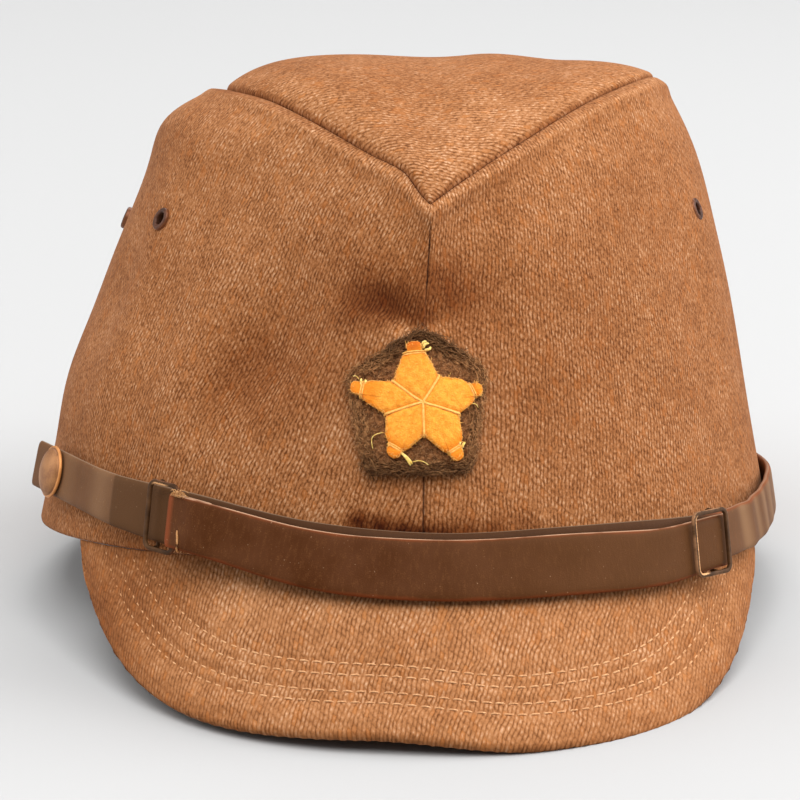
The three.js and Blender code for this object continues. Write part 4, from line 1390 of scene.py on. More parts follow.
def orange_tips(felt, place, colour):
    """The knobs kept more of their dye, and the top one is the darkest."""
    centre = felt.node("VectorMath", {"operation": "DISTANCE"}, {0: place, 1: star_centre})
    tip = felt.node("VectorMath", {"operation": "DISTANCE"}, {0: place, 1: top_tip})
    colour = felt.mix(centre.ramp(9.4, 11.4) * 0.75, colour, tone("#ee8420"))
    return felt.mix(tip.ramp(3.0, 1.8), colour, tone("#cf6a1e"))


yellow_felt = felt_finish("yellow_felt", "#f0942f", "#fba63d", "#ffbb60", orange_tips)
add_piece("badge_star_felt", *star, yellow_felt, "star_felt", ["badge_star"])

# %% [markdown]
# The threads are round strands laid on the felt: five couched ones, and two turns round each tip. Curves with
# a bevel would look the same; the helper for stitches makes them too, so nothing new is needed.

# %% Threads of the star
COUCH_RADIUS = 0.29
TIE_RADIUS = 0.2
COUCH_SUNK = 0.36
steps = np.linspace(0, 1, 16)
couch = waists[:, None] * (steps * 1.04)[:, None]
drop = np.where(steps > 0.97, 0.9, 0.0)
couching = laid(STAR_MIDDLE + couch, STAR_BASE + STAR_THICK - COUCH_SUNK - drop)
steps = np.linspace(-0.06, 1.06, 12)
wraps = []
for offset in (-0.22, 0.22):
    for (first, second), tip in zip(ties, tips):
        wraps.append(first + (second - first) * steps[:, None] + unit(tip) * offset)
arch = STAR_BASE + STAR_THICK * (0.1 + 0.58 * np.clip(1 - (2 * steps - 1) ** 4, 0, 1) ** 0.5)
tying = laid(STAR_MIDDLE + np.array(wraps), arch)
yellow_thread = thread_finish("yellow_thread", "#efab47", "#fac067")
star_threads = joined(tubes(couching, COUCH_RADIUS, 8), tubes(tying, TIE_RADIUS, 7))
add_piece("badge_star_threads", *star_threads, yellow_thread, "star_felt")

# %% [markdown]
# Some pale ends were never trimmed, and a few hairs of thread lie on the backing. Each is a row: where it
# starts, where it ends, both from the star's middle, and how far it bows between.

# %% Loose ends
END_RADIUS = 0.3
END_TAPER = np.array([0.8, 1, 1, 1, 1, 1, 1, 0.9, 0.5])
HAIR_RADIUS = 0.1
END_NAMES = ("x", "z", "to_x", "to_z", "bend")
LOOSE_ENDS = named(END_NAMES, (
    (-5.0, -10.6, -2.8, -13.5, 0.3),
    (-4.7, -10.9, -2.4, -13.2, 0.2),
    (0.4, 11.6, 1.3, 12.6, 0.3),
    (0.6, 11.2, 1.6, 11.9, -0.3),
    (0.2, 12.2, 0.9, 13.0, 0.2),
    (-12.3, 2.6, -12.6, 4.9, 0.2),
    (-11.9, 2.9, -11.8, 4.7, -0.2),
    (7.8, -9.9, 8.4, -8.8, 0.2),
    (7.2, -9.6, 7.4, -8.7, 0.2),
))
HAIRS = named(END_NAMES, (
    (-8.4, -6.5, -10.7, -10.0, -1.3),
    (-2.3, -12.7, 0.7, -13.3, 0.5),
    (9.6, -0.6, 11.4, -1.4, 0.4),
    (-14.4, 5.4, -13.2, 4.8, 0.3),
))


def loose(rows, height):
    """Short bent strands on the badge between two places each."""
    steps = np.linspace(0, 1, len(END_TAPER))
    paths = []
    for row in rows:
        start = np.array([row["x"], row["z"]])
        end = np.array([row["to_x"], row["to_z"]])
        aside = np.array([start[1] - end[1], end[0] - start[0]]) / np.hypot(*(end - start))
        bow = aside * row["bend"] * np.sin(np.pi * steps)[:, None]
        paths.append(STAR_MIDDLE + start + (end - start) * steps[:, None] + bow)
    return laid(np.array(paths), height + 0.3 * np.sin(np.pi * steps))


pale_thread = thread_finish("pale_thread", "#e3bb52", "#f6d983")
ends = tubes(loose(LOOSE_ENDS, STAR_BASE + 0.5), END_RADIUS * END_TAPER, 7)
hairs = tubes(loose(HAIRS, STAR_BASE + 0.3), HAIR_RADIUS, 5)
add_piece("badge_loose_ends", *joined(ends, hairs), pale_thread, "star_felt")

# %% [markdown]
# The star's cut edge is fuzzy too, with shorter fibres than the hem.

# %% Fibres of the star
STAR_FIBRE = 0.9
STAR_FIBRE_STAND = 0.25
STAR_FUZZ = 1100
dice = np.random.default_rng(9)
pick = dice.integers(0, len(star_loop), STAR_FUZZ)
rim = STAR_MIDDLE + star_loop[pick] * dice.uniform(0.93, 1.0, STAR_FUZZ)[:, None]
along_rim = unit(np.roll(star_loop, -1, 0) - star_loop)[pick] * 0.6
rim_height = STAR_BASE + STAR_THICK * dice.uniform(0.2, 0.8, STAR_FUZZ)
rim_fuzz = locks(rim, along_rim, rim_height, STAR_FIBRE, STAR_FIBRE_STAND, 15)
add_piece("badge_star_fibres", *tubes(rim_fuzz, FUZZ_RADIUS * LOCK_TAPER, 3), yellow_thread, "star_felt")

# %% [markdown]
# ## The chin strap
#
# The strap is two lengths of worn leather. The back one is held by a button at each end. The front one folds
# round the bar of the left slide, lies over the back one and ends under the right slide.
# Wear, and the light and shade painted on the leather, follow the strap, so the finish works with lengths
# along it and heights across it, from the UV map.

# %% Leather finish


def leather_finish(name, shine, marks):
    """Brown leather; marks changes its colour along the strap and across it."""
    leather = Finish(name, {"Specular IOR Level": shine})
    flat = leather.flat()
    place = leather.node("SeparateXYZ", None, {0: flat})
    stretched = leather.node("Mapping", None, {"Vector": flat, "Scale": (1.0, 0.3, 1.0)})
    streak = leather.noise(stretched, 1.3, 4.0)
    patch = leather.noise(flat, 0.1, 3.0)
    grain = leather.noise(flat, 3.2, 3.0)
    speck = leather.noise(flat, 1.6, 1.0)
    colour = leather.mix(patch.ramp(0.3, 0.7), tone("#4a270f"), tone("#55311a"))
    colour = leather.mix((streak * 0.5 + grain * 0.5).ramp(0.48, 0.72) * 0.65, colour, tone("#6e4526"))
    colour = marks(leather, place.out("X"), place.out("Y"), patch, colour)
    colour = leather.mix(speck.ramp(0.74, 0.79) * 0.5, colour, tone("#b08d6c"))
    leather.link("Base Color", colour)
    leather.link("Roughness", 0.46 + streak * 0.2)
    leather.bump(streak * 0.4 + grain * 0.5, 0.22, 0.6)
    return leather


print("dark leather as linear red, green and blue:", [round(part, 3) for part in tone("#4a270f")[:3]])

# %% [markdown]
# The back strap is painted paler at its ends, as a sheen where they turn to the side lights, most of all
# where it bends, and in paler bands along them; past the crease and along its middle it is painted darker,
# as shade. The front strap is red where its dye is worn off, along its edges and on its fold. Each strap's
# upper edge has a pale line, worn and also a painted highlight. Lengths are millimetres from the left end of
# each strap; the front strap's left end is the one inside its fold.

# %% Wear, painted sheen and painted shade along the straps
CREASE_RUN = (49.3, 48.2)
DARK_LEFT = (90, 62)
DARK_RIGHT = (212, 200)
SHEEN_AND_WEAR_RIGHT = (200, 210)
FOLD_RUN = (8.6, 9.6)
FOLD_END_RUN = (13.4, 12.0)
TAIL_RUN = 153.2
SHEEN_BAND_NAMES = ("run", "wide", "amount")
SHEEN_BANDS = named(SHEEN_BAND_NAMES, (
    (23, 8, 0.2),
    (43, 8, 0.3),
    (222, 4.5, 0.5),
    (232, 3.5, 0.4),
    (239.5, 3.5, 0.45),
    (249, 6, 0.4),
    (266, 14, 0.4),
))


def back_sheen_shade_and_wear(leather, run, height, patch, colour):
    """Painted sheen at both ends, none past the crease; painted shade in the middle; red wear; a highlighted
    top edge.
    """
    before_crease = (run + height * 0.12).ramp(*CREASE_RUN)
    right = run.ramp(*SHEEN_AND_WEAR_RIGHT)
    # Painted shade: darker past the crease and along the middle, where the back strap lies under the front one.
    colour = leather.mix((1 - before_crease) * run.ramp(*DARK_RIGHT) * 0.6, colour, tone("#3f2b1b"))
    colour = leather.mix(run.ramp(*DARK_LEFT) * (1 - before_crease) * 0.75, colour, tone("#5b3d24"))
    # Painted sheen: paler ends that face the side lights, and paler bands of painted light along them.
    painted_sheen = before_crease * 0.3 + right * 0.25
    for band in SHEEN_BANDS:
        far = (run - band["run"] + height * 0.1).math("ABSOLUTE")
        painted_sheen = painted_sheen + far.ramp(band["wide"], 0) * band["amount"] * (before_crease + right)
    colour = leather.mix(painted_sheen, colour, tone("#8d6a4c"))
    red = (height + (patch - 0.5) * 1.5).ramp(5.2, 6.3) * right
    colour = leather.mix(red * 0.6, colour, tone("#823f1d"))
    # Painted highlight, with wear: a pale line along the upper edge.
    return leather.mix(height.ramp(6.2, 6.45) * 0.35, colour, tone("#a58c74"))


def front_wear_and_highlight(leather, run, height, patch, colour):
    """Red leather along the front strap's edges and on its fold, and a pale upper line, worn and painted as a
    highlight.
    """
    colour = leather.mix(run.ramp(50, 130) * 0.6, colour, tone("#5a3b21"))
    edge = height.math("ABSOLUTE") + (patch - 0.5) * 1.4
    colour = leather.mix(edge.ramp(5.6, 6.5) * 0.6, colour, tone("#7d3b1b"))
    # Painted highlight, with wear: a pale line along the upper edge, in patches.
    colour = leather.mix(height.ramp(6.15, 6.45) * patch.ramp(0.3, 0.5) * 0.8, colour, tone("#c9a283"))
    colour = leather.mix(run.ramp(TAIL_RUN - 0.9, TAIL_RUN - 0.3) * 0.6, colour, tone("#b08b6a"))
    return leather.mix(run.ramp(*FOLD_RUN) * run.ramp(*FOLD_END_RUN) * 0.7, colour, tone("#8a4526"))


leather = leather_finish("brown_leather", 0.05, front_wear_and_highlight)
back_leather_painted_sheen = leather_finish("back_leather_painted_sheen", 0.06, back_sheen_shade_and_wear)
print("leather nodes:", len(leather.tree.nodes))

# %% [markdown]
# A table gives the strap's height, its distance from the rim and its lean at angles round the cap. A curve
# with a bevel could twist on such a path, so the strap's three directions are worked out here.

# %% Path of the strap
STRAP = table(("angle", "z", "off", "lean"), [
    (-88, 16.8, -0.7, 12),
    (-70, 14.6, -0.4, 11),
    (-52, 11.6, 0.9, 9),
    (-34, 7.5, 2.2, 8),
    (-16, 2.4, 2.9, 14),
    (2, 0, 3.2, 18),
    (20, 0.4, 3.3, 15),
    (38, 0.9, 4.4, 8),
    (56, 2.4, 3.0, 6),
    (74, 6.1, 0.5, 7),
    (92, 7.6, 0.3, 9),
    (110, 9.2, 0.1, 9),
    (128, 10.5, 0.1, 9),
])
FLARE = 0.0095
FLARE_FROM = 61
CREASE_ANGLE = -47.5
CREASE_REACH = 11
CREASE = 1.1
WRINKLE_NAMES = ("angle", "wide", "height")
WRINKLES = named(WRINKLE_NAMES, (
    (54.2, 1.6, -0.3),
    (57.2, 1.6, 0.42),
    (60.6, 1.4, -0.2),
    (64.8, 1.8, 0.16),
    (70.5, 2.2, 0.2),
))


def strap_slack(angle):
    """A stiff straight end and a crease on the left, and soft wrinkles where the strap bends on the right."""
    flare = FLARE * np.maximum(-angle - FLARE_FROM, 0) ** 2
    tent = CREASE * np.clip(1 - np.abs(angle - CREASE_ANGLE) / CREASE_REACH, 0, 1)
    wrinkles = sum(row["height"] * bell((angle - row["angle"]) / row["wide"]) for row in WRINKLES)
    return flare + tent + wrinkles


def strap_middle(angle):
    """Place of the back strap's middle at an angle."""
    t = (angle - STRAP["angle"][0]) / (STRAP["angle"][-1] - STRAP["angle"][0])
    p = rim_point(angle, column(STRAP["off"], t) + strap_slack(angle))
    p[..., 2] = column(STRAP["z"], t)
    return p


def strap_frame(angle):
    """Place of the strap at an angle, and its directions along, off its face and up."""
    angle = np.asarray(angle, float)
    along = unit(strap_middle(angle + 0.5) - strap_middle(angle - 0.5))
    t = (angle - STRAP["angle"][0]) / (STRAP["angle"][-1] - STRAP["angle"][0])
    lean = np.radians(column(STRAP["lean"], t))[..., None]
    face = rim_outward(angle) * np.cos(lean) + UP * np.sin(lean)
    face = unit(face - along * np.sum(face * along, -1)[..., None])
    return strap_middle(angle), along, face, np.cross(face, along)


front_middle = strap_middle(np.array([0.0]))[0]
print("strap's middle at the front, mm:", [round(float(part), 1) for part in front_middle])

# %% [markdown]
# `ribbon` sweeps a flat section with rounded edges along a path. The back strap narrows towards its ends.

# %% Back strap
STRAP_WIDTH = 13
STRAP_END_WIDTH = 11
TAPER_LEFT = (30, 58)
TAPER_RIGHT = (28, 50)
STRAP_THICK = 1.6
STRAP_ENDS = (-76.5, 110.5)
STRAP_STEPS = 340


def ribbon(place, face, up, thick, width):
    """A strap with rounded edges through places, and flat places along and across it."""
    turn = np.linspace(-np.pi / 2, np.pi / 2, 15)
    across = np.sin(turn)
    swell = (1 - np.abs(across) ** 9) ** 0.5
    a = np.concatenate([swell, -swell[-2:0:-1]])
    b = np.concatenate([across, across[-2:0:-1]])
    points = place[:, None] + face[:, None] * (a * thick[:, None] / 2)[..., None]
    points = points + up[:, None] * (b * width[:, None] / 2)[..., None]
    index = np.arange(points.size // 3).reshape(points.shape[:2])
    faces = quads(np.concatenate([index, index[:, :1]], 1)).tolist()
    faces += [index[0].tolist(), index[-1, ::-1].tolist()]
    run = np.concatenate([[0], np.cumsum(length(np.diff(place, axis=0)))])
    flat = np.stack(np.broadcast_arrays(run[:, None], b * STRAP_WIDTH / 2), -1)
    return points.reshape(-1, 3), faces, flat


angle = np.linspace(*STRAP_ENDS, STRAP_STEPS)
place, _, face, up = strap_frame(angle)
taper = smooth(-angle, *TAPER_LEFT) + smooth(angle, *TAPER_RIGHT)
width = STRAP_WIDTH + (STRAP_END_WIDTH - STRAP_WIDTH) * taper
points, faces, flat = ribbon(place, face, up, np.full(STRAP_STEPS, STRAP_THICK), width)
print("back strap's length, mm:", flat[-1, 0, 0].round(1))
add_piece("strap_back_leather", points, faces, back_leather_painted_sheen, "leather", ["strap_back"], flat, 50)

# %% [markdown]
# The front strap starts with a short return behind the bar of the left slide, turns round the bar and comes
# down to lie on the back strap, a little lower than it. It is thinner where it folds, and its two ends are
# not cut square, so its sections lean along the strap there.

# %% Layout of the front strap
FOLD_ANGLE = -35.2
TAIL_ANGLE = 46.9
DROP_LEFT = 0.4
DROP_MIDDLE = 2.2
DROP_RIGHT = 0.8
DROP_FROM = (-33, -8)
DROP_TO = (32, 45)
LEFT_ASKEW = 0.115
RIGHT_ASKEW = -0.06
ASKEW_FADE = 9
STRAP_GAP = 0.35
FRONT_WIDTH = 13.6
FRONT_END_WIDTH = 11.7
FRONT_LEFT = (-36, 0)
FRONT_RIGHT = (18, 48)
FOLD_THICK = 0.9
FOLD_RETURN = 8
FULL_AT = 4
FLAT_FROM = 2
FLAT_AT = 13
MM_PER_DEGREE = 1.62
BAR_THICK = 0.9
BAR_SLOT = BAR_THICK + 2 * GAP
FRONT_LIFT = STRAP_THICK + STRAP_GAP
RETURN_LIFT = STRAP_THICK / 2 + GAP + FOLD_THICK / 2
FOLD_RADIUS = (BAR_SLOT + FOLD_THICK) / 2
BAR_LIFT = RETURN_LIFT + FOLD_RADIUS


def front_drop(angle):
    """How much lower than the back strap the front one lies."""
    left = DROP_LEFT + (DROP_MIDDLE - DROP_LEFT) * smooth(angle, *DROP_FROM)
    return left + (DROP_RIGHT - DROP_MIDDLE) * smooth(angle, *DROP_TO)


def askew(angle):
    """How far the strap's two ends lean along it, for each millimetre of height."""
    left = LEFT_ASKEW * smooth(FOLD_ANGLE + ASKEW_FADE - angle, 0, ASKEW_FADE)
    return left + RIGHT_ASKEW * smooth(angle - TAIL_ANGLE + ASKEW_FADE, 0, ASKEW_FADE)


def front_station(angle, lift):
    """Place and directions of the front strap, at a lift from the back strap's middle."""
    place, along, face, up = strap_frame(angle)
    place = place + face * np.broadcast_to(lift, angle.shape)[:, None] - up * front_drop(angle)[:, None]
    return place, along, face, up - along * askew(angle)[:, None]


def front_width(angle):
    """Width of the front strap, which narrows towards its ends."""
    wide = smooth(angle, *FRONT_LEFT) * (1 - smooth(angle, *FRONT_RIGHT))
    return FRONT_END_WIDTH + (FRONT_WIDTH - FRONT_END_WIDTH) * wide


def front_layer(angle):
    """Thickness of the front strap and height of its inner face above the back strap's middle."""
    past = angle - FOLD_ANGLE
    high = BAR_LIFT + BAR_SLOT / 2
    low = FRONT_LIFT - STRAP_THICK / 2
    thick = FOLD_THICK + (STRAP_THICK - FOLD_THICK) * smooth(past, 0, FULL_AT)
    return thick, high + (low - high) * smooth(past, FLAT_FROM, FLAT_AT)


print("bar of the left slide above the back strap's middle, mm:", round(BAR_LIFT, 2))

# %% [markdown]
# The return, the fold and the long front are joined into one path, so the leather is one piece.

# %% Front strap
RETURN_STEPS = 10
FOLD_STEPS = 18
FRONT_STEPS = 200
back_angle = FOLD_ANGLE + np.linspace(1, 0, RETURN_STEPS) * FOLD_RETURN / MM_PER_DEGREE
back_place, _, back_face, back_up = front_station(back_angle, RETURN_LIFT)
turn = np.linspace(0, np.pi, FOLD_STEPS)[1:-1]
fold_place, fold_along, fold_face, fold_up = front_station(
    np.full(len(turn), FOLD_ANGLE), BAR_LIFT - FOLD_RADIUS * np.cos(turn))
fold_place = fold_place - fold_along * (FOLD_RADIUS * np.sin(turn))[:, None]
fold_face = fold_face * np.cos(turn)[:, None] + fold_along * np.sin(turn)[:, None]
front_angle = np.linspace(FOLD_ANGLE, TAIL_ANGLE, FRONT_STEPS)
front_thick, under = front_layer(front_angle)
front_place, _, front_face, front_up = front_station(front_angle, under + front_thick / 2)
folded = len(back_place) + len(fold_place)
points, faces, flat = ribbon(
    np.concatenate([back_place, fold_place, front_place]),
    np.concatenate([back_face, fold_face, -front_face]),
    np.concatenate([back_up, fold_up, front_up]),
    np.concatenate([np.full(folded, FOLD_THICK), front_thick]),
    np.concatenate([np.full(folded, FRONT_END_WIDTH), front_width(front_angle)]))
print("front strap's length, mm:", flat[-1, 0, 0].round(1))
add_piece("strap_front_leather", points, faces, leather, "leather", ["strap_front"], flat, 50)

# %% [markdown]
# The fold is sewn with one thick thread, and the edge above it is frayed.

# %% Thread and frayed edge of the fold
FRAY = 26
FRAY_RADIUS = 0.08
FRAY_ANGLE = -34.2
FRAY_UP = 5.5
FOLD_STITCH = table(("angle", "up", "off"), [
    (-33.6, -1.7, -0.2),
    (-33.5, -2.2, 0.1),
    (-33.3, -3.2, 0.2),
    (-33.2, -4.4, 0.2),
    (-33.2, -5.4, 0.15),
    (-33.3, -6.1, -0.3),
    (-33.3, -6.2, -1.0),
])
FOLD_STITCH_RADIUS = 0.24


def on_front(angle, up, off):
    """Places on the front strap: an angle, a height from its middle and a distance off its face."""
    thick, inner = front_layer(angle)
    place, _, _, upward = front_station(angle, inner + thick + off)
    return place + upward * np.asarray(up)[:, None]


dice = np.random.default_rng(31)
root = dice.normal(FRAY_ANGLE, 0.6, FRAY)
reach = dice.uniform(0.3, 1.9, FRAY)
sway = dice.normal(0.3, 0.8, FRAY)
tilt = dice.uniform(-0.9, 0.6, FRAY)
fray = []
for step in np.linspace(0, 1, 6):
    fray_up = FRAY_UP + reach * np.sin(2.2 * step)
    fray.append(on_front(root + sway * step ** 2, fray_up, 0.2 + tilt * step))
stitch = on_front(FOLD_STITCH["angle"], FOLD_STITCH["up"], FOLD_STITCH["off"])
fold_thread = thread_finish("fold_thread", "#a86f38", "#cf9c66")
fold_mesh = joined(tubes([stitch], FOLD_STITCH_RADIUS, 8), tubes(np.stack(fray, 1), FRAY_RADIUS, 4))
add_piece("strap_fold_thread", *fold_mesh, fold_thread, "thread")

# %% [markdown]
# ## Slides
#
# Each slide is a flat bar bent into a frame with rounded corners. A box with a hole in it would have sharp
# edges, so a soft section is swept round the frame instead.

# %% Bar of a slide
BAR_WIDTH = 1.0
BAR_SECTION = 16
SLIDE_CORNER = 1.7


def rounded_corners(corners, radius, steps):
    """A path through corners, each rounded to a radius; the first and last corners stay."""
    path = [corners[0]]
    for before, here, after in zip(corners, corners[1:], corners[2:]):
        into = unit(here - before)
        out = unit(after - here)
        for s in np.linspace(0, np.pi / 2, steps):
            path.append(here - into * radius * (1 - np.sin(s)) + out * radius * (1 - np.cos(s)))
    return np.array(path + [corners[-1]])


def bar_frame(x, y, lift):
    """A flat bar round a rectangle, from the middle of its right side, with lengths along and across it."""
    corners = np.array([(x, 0), (x, y), (-x, y), (-x, -y), (x, -y), (x, 0)])
    path = rounded_corners(corners, SLIDE_CORNER, 9)
    along = unit(np.gradient(path, axis=0))
    inward = np.stack([-along[:, 1], along[:, 0]], -1)
    turn = 2 * np.pi * np.arange(BAR_SECTION + 1) / BAR_SECTION
    a = np.sign(np.cos(turn)) * np.abs(np.cos(turn)) ** 0.5 * BAR_WIDTH / 2
    b = np.sign(np.sin(turn)) * np.abs(np.sin(turn)) ** 0.5 * BAR_THICK / 2
    points = np.empty((len(path), len(turn), 3))
    points[..., :2] = path[:, None] + inward[:, None] * a[:, None]
    points[..., 2] = lift + b
    run = np.concatenate([[0], np.cumsum(length(np.diff(path, axis=0)))])
    flat = np.stack(np.broadcast_arrays(run[:, None], a), -1)
    index = np.arange(len(path) * len(turn)).reshape(points.shape[:2])
    return points.reshape(-1, 3), quads(index).tolist(), flat


print("points of a slide's bar:", len(bar_frame(5, 7, 0)[0]))

# %% [markdown]
# The dark paint is worn to brass where the strap rubs, and the brass and a paler outer edge are also painted
# highlights, where the bar's flanks catch the light. So the finish needs to know how far along and across the
# bar a place is, and the UV map holds both lengths.

# %% Paint of the slides


def slide_metal(name, wear_and_highlight, edge):
    """Dark paint; worn brass on a stretch's inner edge and the outer edge's own tone, both also painted
    highlights.
    """
    metal = Finish(name, {"Metallic": 0.15, "Specular IOR Level": 0.15})
    flat = metal.flat()
    place = metal.node("SeparateXYZ", None, {0: flat})
    across = place.out("Y")
    patch = metal.noise(flat, 0.3, 3.0)
    fine = metal.noise(flat, 2.4, 3.0)
    stretch = place.ramp(wear_and_highlight[0] - 1, wear_and_highlight[0] + 1) * place.ramp(wear_and_highlight[1] + 1, wear_and_highlight[1] - 1)
    # Painted highlights, with wear: bright brass on the inner edge of the stretch, and the edge tone on the
    # outer edge.
    inner = (across + (fine - 0.5) * 0.5).ramp(0.0, 0.3) * stretch
    outer = (across + (fine - 0.5) * 0.4).ramp(-0.3, -0.46) * patch.ramp(0.35, 0.55)
    colour = metal.mix(patch.ramp(0.3, 0.7), tone("#38220f"), tone("#573a21"))
    colour = metal.mix(outer * 0.8, colour, tone(edge))
    metal.link("Base Color", metal.mix(inner, colour, tone("#e0a873")))
    metal.link("Roughness", 0.5 - inner * 0.1 + fine * 0.1)
    metal.bump(fine, 0.1, 0.5)
    return metal


print("worn brass as linear red, green and blue:", [round(part, 3) for part in tone("#e0a873")[:3]])

# %% [markdown]
# The fold holds the left slide by one of its bars, and the right slide lies over the cut end of the front
# strap. A wire loop from one side of each slide runs round behind the back strap.

# %% Slides
WIRE_RADIUS = 0.45
WIRE_CORNER = 0.6
SLIDE_DROP = 0.7
SLIDE_REAR = -STRAP_THICK / 2 - 2 * GAP - BAR_THICK / 2
LEFT_WIDTH = 9.2
LEFT_ANGLE = FOLD_ANGLE - (LEFT_WIDTH / 2 - BAR_WIDTH) / MM_PER_DEGREE
RIGHT_LIFT = FRONT_LIFT + STRAP_THICK / 2 + GAP + BAR_THICK / 2
SLIDE_NAMES = ("node", "angle", "wide", "tall", "lift", "lean", "hand", "wear_and_highlight", "edge")
SLIDES = named(SLIDE_NAMES, (
    ("slide_left", LEFT_ANGLE, LEFT_WIDTH, 15.8, BAR_LIFT, LEFT_ASKEW, -1, (10, 14), "#6f4630"),
    ("slide_right", 42.5, 13.4, 14.9, RIGHT_LIFT, RIGHT_ASKEW, 1, (18, 34.5), "#a97c58"),
))
for slide in SLIDES:
    node = slide["node"]
    lift = slide["lift"]
    place, along, face, up = strap_frame(slide["angle"])
    place = place - up * SLIDE_DROP * front_drop(slide["angle"])
    x = (slide["wide"] - BAR_WIDTH) / 2
    y = (slide["tall"] - BAR_WIDTH) / 2
    outline, outline_faces, outline_flat = bar_frame(x, y, lift)
    side = slide["hand"] * x
    corners = np.array([(side, y - 1, lift), (side, y, lift - 1), (side, y, SLIDE_REAR),
                        (side, -y, SLIDE_REAR), (side, -y, lift - 1), (side, 1 - y, lift)])
    loop, loop_faces = tubes([rounded_corners(corners, WIRE_CORNER, 6)], WIRE_RADIUS, 12)
    basis = np.stack([along, up - along * slide["lean"], face])
    points, faces = joined((outline, outline_faces), (loop, loop_faces))
    flat = np.concatenate([outline_flat.reshape(-1, 2), np.zeros((len(loop), 2))])
    finish = slide_metal(node + "_metal", slide["wear_and_highlight"], slide["edge"])
    add_piece(node + "_bar", place + points @ basis, faces, finish, "dark_metal", [node], flat)

# %% [markdown]
# ## Buttons and eyelets
#
# Both are turned forms: a profile of radius and height goes once round an axis. The buttons are pressed
# copper-brown domes with a rolled rim, painted bright all round as a reflection of the cloth.

# %% Buttons
BUTTON_RADIUS = 6.2
BUTTON_DOME = 2.6
BUTTON_ANGLES = {"button_left": -68.3, "button_right": 104}
POST_RADIUS = 1.3
POST_DEPTH = 1.0
RIM_INSIDE = 5.5
RIM_HEIGHT = 0.8
AXIS = 0.01
BUTTON_SEGMENTS = 56


def old_metal(name, dark, pale, rim, rim_from):
    """Dull metal with soft patches; the UV map's first number is the distance from the axis."""
    metal = Finish(name, {"Metallic": 0.4, "Specular IOR Level": 0.4})
    place = metal.solid()
    patch = metal.noise(place, 0.3, 3.0)
    fine = metal.noise(place, 2.6, 3.0)
    radius = metal.node("SeparateXYZ", None, {0: metal.flat()})
    colour = metal.mix((patch * 0.7 + fine * 0.3).ramp(0.35, 0.65), tone(dark), tone(pale))
    # Painted reflection: past rim_from the colour turns to the rim tone, which on the buttons stands for the
    # cloth reflected in the rolled rim; on the eyelets it is a paler rim.
    wear_and_highlight = (radius + (patch - 0.5) * 0.4).ramp(rim_from, rim_from + 0.4)
    metal.link("Base Color", metal.mix(wear_and_highlight * 0.8, colour, tone(rim)))
    metal.link("Roughness", 0.42 + fine * 0.15 - wear_and_highlight * 0.1)
    metal.bump(fine + patch, 0.1, 0.4)
    return metal


def ring_places(profile, segments):
    """Distance from the axis of each point of a turned form, as flat places."""
    radius, height = np.array(profile, float).T
    return np.repeat(np.stack([radius, height], -1), segments, axis=0)


button_metal = old_metal("button_metal", "#865734", "#a87548", "#dd9450", 5.6)
button_base = STRAP_THICK / 2 + GAP
dome_turn = np.linspace(0, np.pi / 2, 12)[1:]
button_profile = [
    (AXIS, -POST_DEPTH), (POST_RADIUS, -POST_DEPTH), (POST_RADIUS, button_base), (5.6, button_base),
    (6.05, button_base + 0.12), (BUTTON_RADIUS, button_base + 0.4), (6.1, button_base + 0.7),
    (5.8, button_base + 0.82), (RIM_INSIDE, button_base + RIM_HEIGHT),
]
for s in dome_turn:
    height = button_base + RIM_HEIGHT + (BUTTON_DOME - RIM_HEIGHT) * math.sin(s)
    button_profile.append((max(RIM_INSIDE * math.cos(s), AXIS), height))
for node, button_angle in BUTTON_ANGLES.items():
    place, _, face, up = strap_frame(button_angle)
    points, faces = turned(button_profile, place, face, up, BUTTON_SEGMENTS)
    flat = ring_places(button_profile, BUTTON_SEGMENTS)
    add_piece(node + "_dome", points, faces, button_metal, "button_metal", [node], flat, 60)

# %% [markdown]
# An eyelet is a tube with a rolled flange outside the cloth and one inside it. Its profile is a closed ring
# that stays clear of the axis, so the two caps of a turned form are left off and the last row meets the first.

# %% Eyelets
EYELET_HOLE = 1.5
EYELET_RADIUS = 2.8
FLANGE = 0.26
EYELET_SEGMENTS = 40
eyelet_metal = old_metal("eyelet_metal", "#3a2013", "#5a321c", "#86512f", 2.5)
flange_turn = np.linspace(-0.5 * np.pi, 0.5 * np.pi, 11)
flange_middle = (EYELET_HOLE + EYELET_RADIUS) / 2
flange_half = (EYELET_RADIUS - EYELET_HOLE) / 2
outside = [(flange_middle - flange_half * math.sin(s), GAP + 2 * FLANGE * math.cos(s)) for s in flange_turn]
inside = [(2 * flange_middle - radius, -CLOTH - height) for radius, height in outside]
eyelet_profile = outside + inside
for eyelet in EYELETS:
    place = wall_point(eyelet["side"], eyelet["t"], eyelet["v"])
    facing = wall_normal(eyelet["side"], eyelet["t"], eyelet["v"])
    points, faces = turned(eyelet_profile, place, facing, UP, EYELET_SEGMENTS)
    faces = faces[:-2]
    last = len(points) - EYELET_SEGMENTS
    for k in range(EYELET_SEGMENTS):
        following = (k + 1) % EYELET_SEGMENTS
        faces.append([k, following, last + following, last + k])
    flat = ring_places(eyelet_profile, EYELET_SEGMENTS)
    add_piece(eyelet["node"] + "_ring", points, faces, eyelet_metal, "dark_metal", [eyelet["node"]], flat)

# %% [markdown]
# ## Studio
#
# The cap lies on a plain pale table. The floor is not attached to the cap's body, so it is not part of the cap.

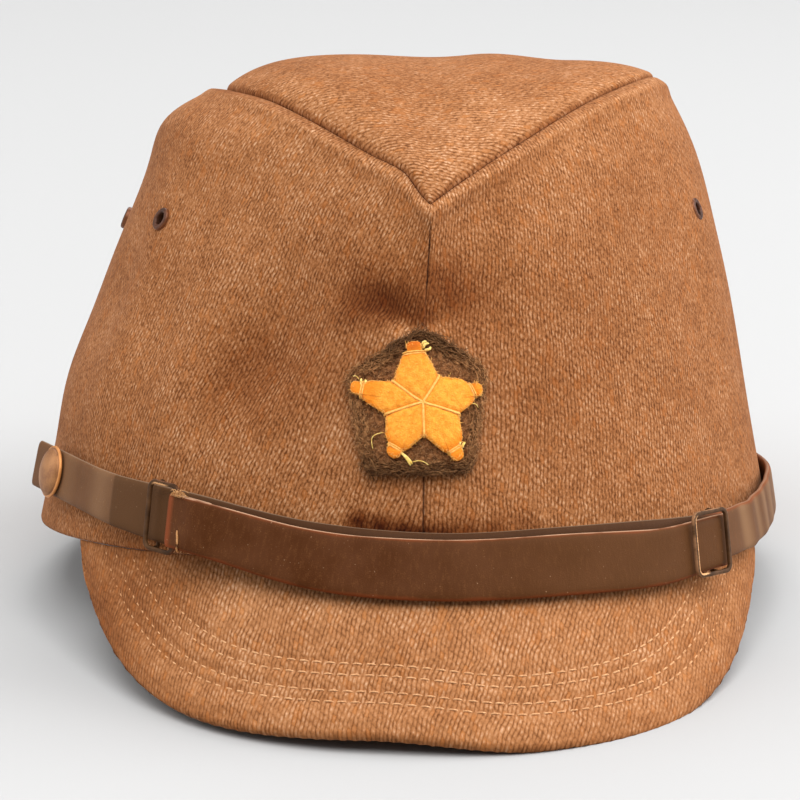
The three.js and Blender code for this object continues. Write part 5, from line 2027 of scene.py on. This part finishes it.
# %% Floor
FLOOR_HALF = 6
FLOOR_GREY = 0.455
scene = bpy.context.scene
floor_colour = (FLOOR_GREY, FLOOR_GREY, FLOOR_GREY, 1)
floor_finish = Finish("pale_table", {"Base Color": floor_colour, "Roughness": 0.9})
floor_corners = [(FLOOR_HALF * x, FLOOR_HALF * y, 0) for x, y in ((-1, -1), (1, -1), (1, 1), (-1, 1))]
floor_mesh = bpy.data.meshes.new("floor")
floor_mesh.from_pydata(floor_corners, [], [(0, 1, 2, 3)])
floor_mesh.materials.append(floor_finish.material)
floor = bpy.data.objects.new("floor", floor_mesh)
scene.collection.objects.link(floor)
print("floor's side, m:", 2 * FLOOR_HALF)

# %% [markdown]
# A large soft light shines from above and one from each side, the right one stronger. One more lights the
# table behind the cap. A row gives a light's place, where it points, its size and its watts.

# %% Light
WORLD_LIGHT = 0.22
world = bpy.data.worlds.new("studio")
world.use_nodes = True
world.node_tree.nodes["Background"].inputs["Strength"].default_value = WORLD_LIGHT
world.node_tree.nodes["Background"].inputs["Color"].default_value = (1, 1, 1, 1)
scene.world = world
LIGHTS = (
    ("key", (0.15, -1.0, 2.1), (0, 0, 0.05), 2.2, 64),
    ("right", (1.4, 0.1, 0.8), (0, 0, 0.05), 1.5, 30),
    ("left", (-1.4, 0.1, 0.8), (0, 0, 0.05), 1.5, 16),
    ("back", (0, 1.6, 1.5), (0, 1.6, 0), 1.2, 20),
)
for name, spot, goal, size, watts in LIGHTS:
    lamp = bpy.data.lights.new(name, "AREA")
    lamp.size = size
    lamp.energy = watts
    holder = bpy.data.objects.new(name, lamp)
    holder.location = spot
    holder.rotation_euler = (Vector(goal) - Vector(spot)).to_track_quat("-Z", "Y").to_euler()
    scene.collection.objects.link(holder)
scene.view_settings.view_transform = "Standard"
print("lights:", [row[0] for row in LIGHTS])

# %% [markdown]
# The camera looks down a little, from the distance that gives the photograph's perspective. It is turned so
# that the middle of the rim falls on the same pixel as in the photograph.

# %% Camera
SENSOR = 36
CAMERA_UP = math.radians(16.2)
CAMERA_ASIDE = math.radians(-2.3)
CAMERA_DISTANCE = 0.85
PIXELS = 800
FOCAL_PIXELS = 3434
RIM_PIXEL = (405, 513)
rim_middle = Vector(to_rest(np.zeros(3)))
forward = Vector((-math.sin(CAMERA_ASIDE) * math.cos(CAMERA_UP),
                  math.cos(CAMERA_ASIDE) * math.cos(CAMERA_UP), -math.sin(CAMERA_UP)))
right = Vector((math.cos(CAMERA_ASIDE), math.sin(CAMERA_ASIDE), 0))
upward = right.cross(forward)
look = forward * FOCAL_PIXELS + right * (PIXELS / 2 - RIM_PIXEL[0]) + upward * (RIM_PIXEL[1] - PIXELS / 2)
lens = bpy.data.cameras.new("camera")
lens.sensor_width = SENSOR
lens.lens = SENSOR * FOCAL_PIXELS / PIXELS
camera = bpy.data.objects.new("camera", lens)
camera.location = rim_middle - forward * CAMERA_DISTANCE
camera.rotation_euler = look.to_track_quat("-Z", "Y").to_euler()
scene.collection.objects.link(camera)
scene.camera = camera
print("focal length, mm:", round(lens.lens, 1))

# %% [markdown]
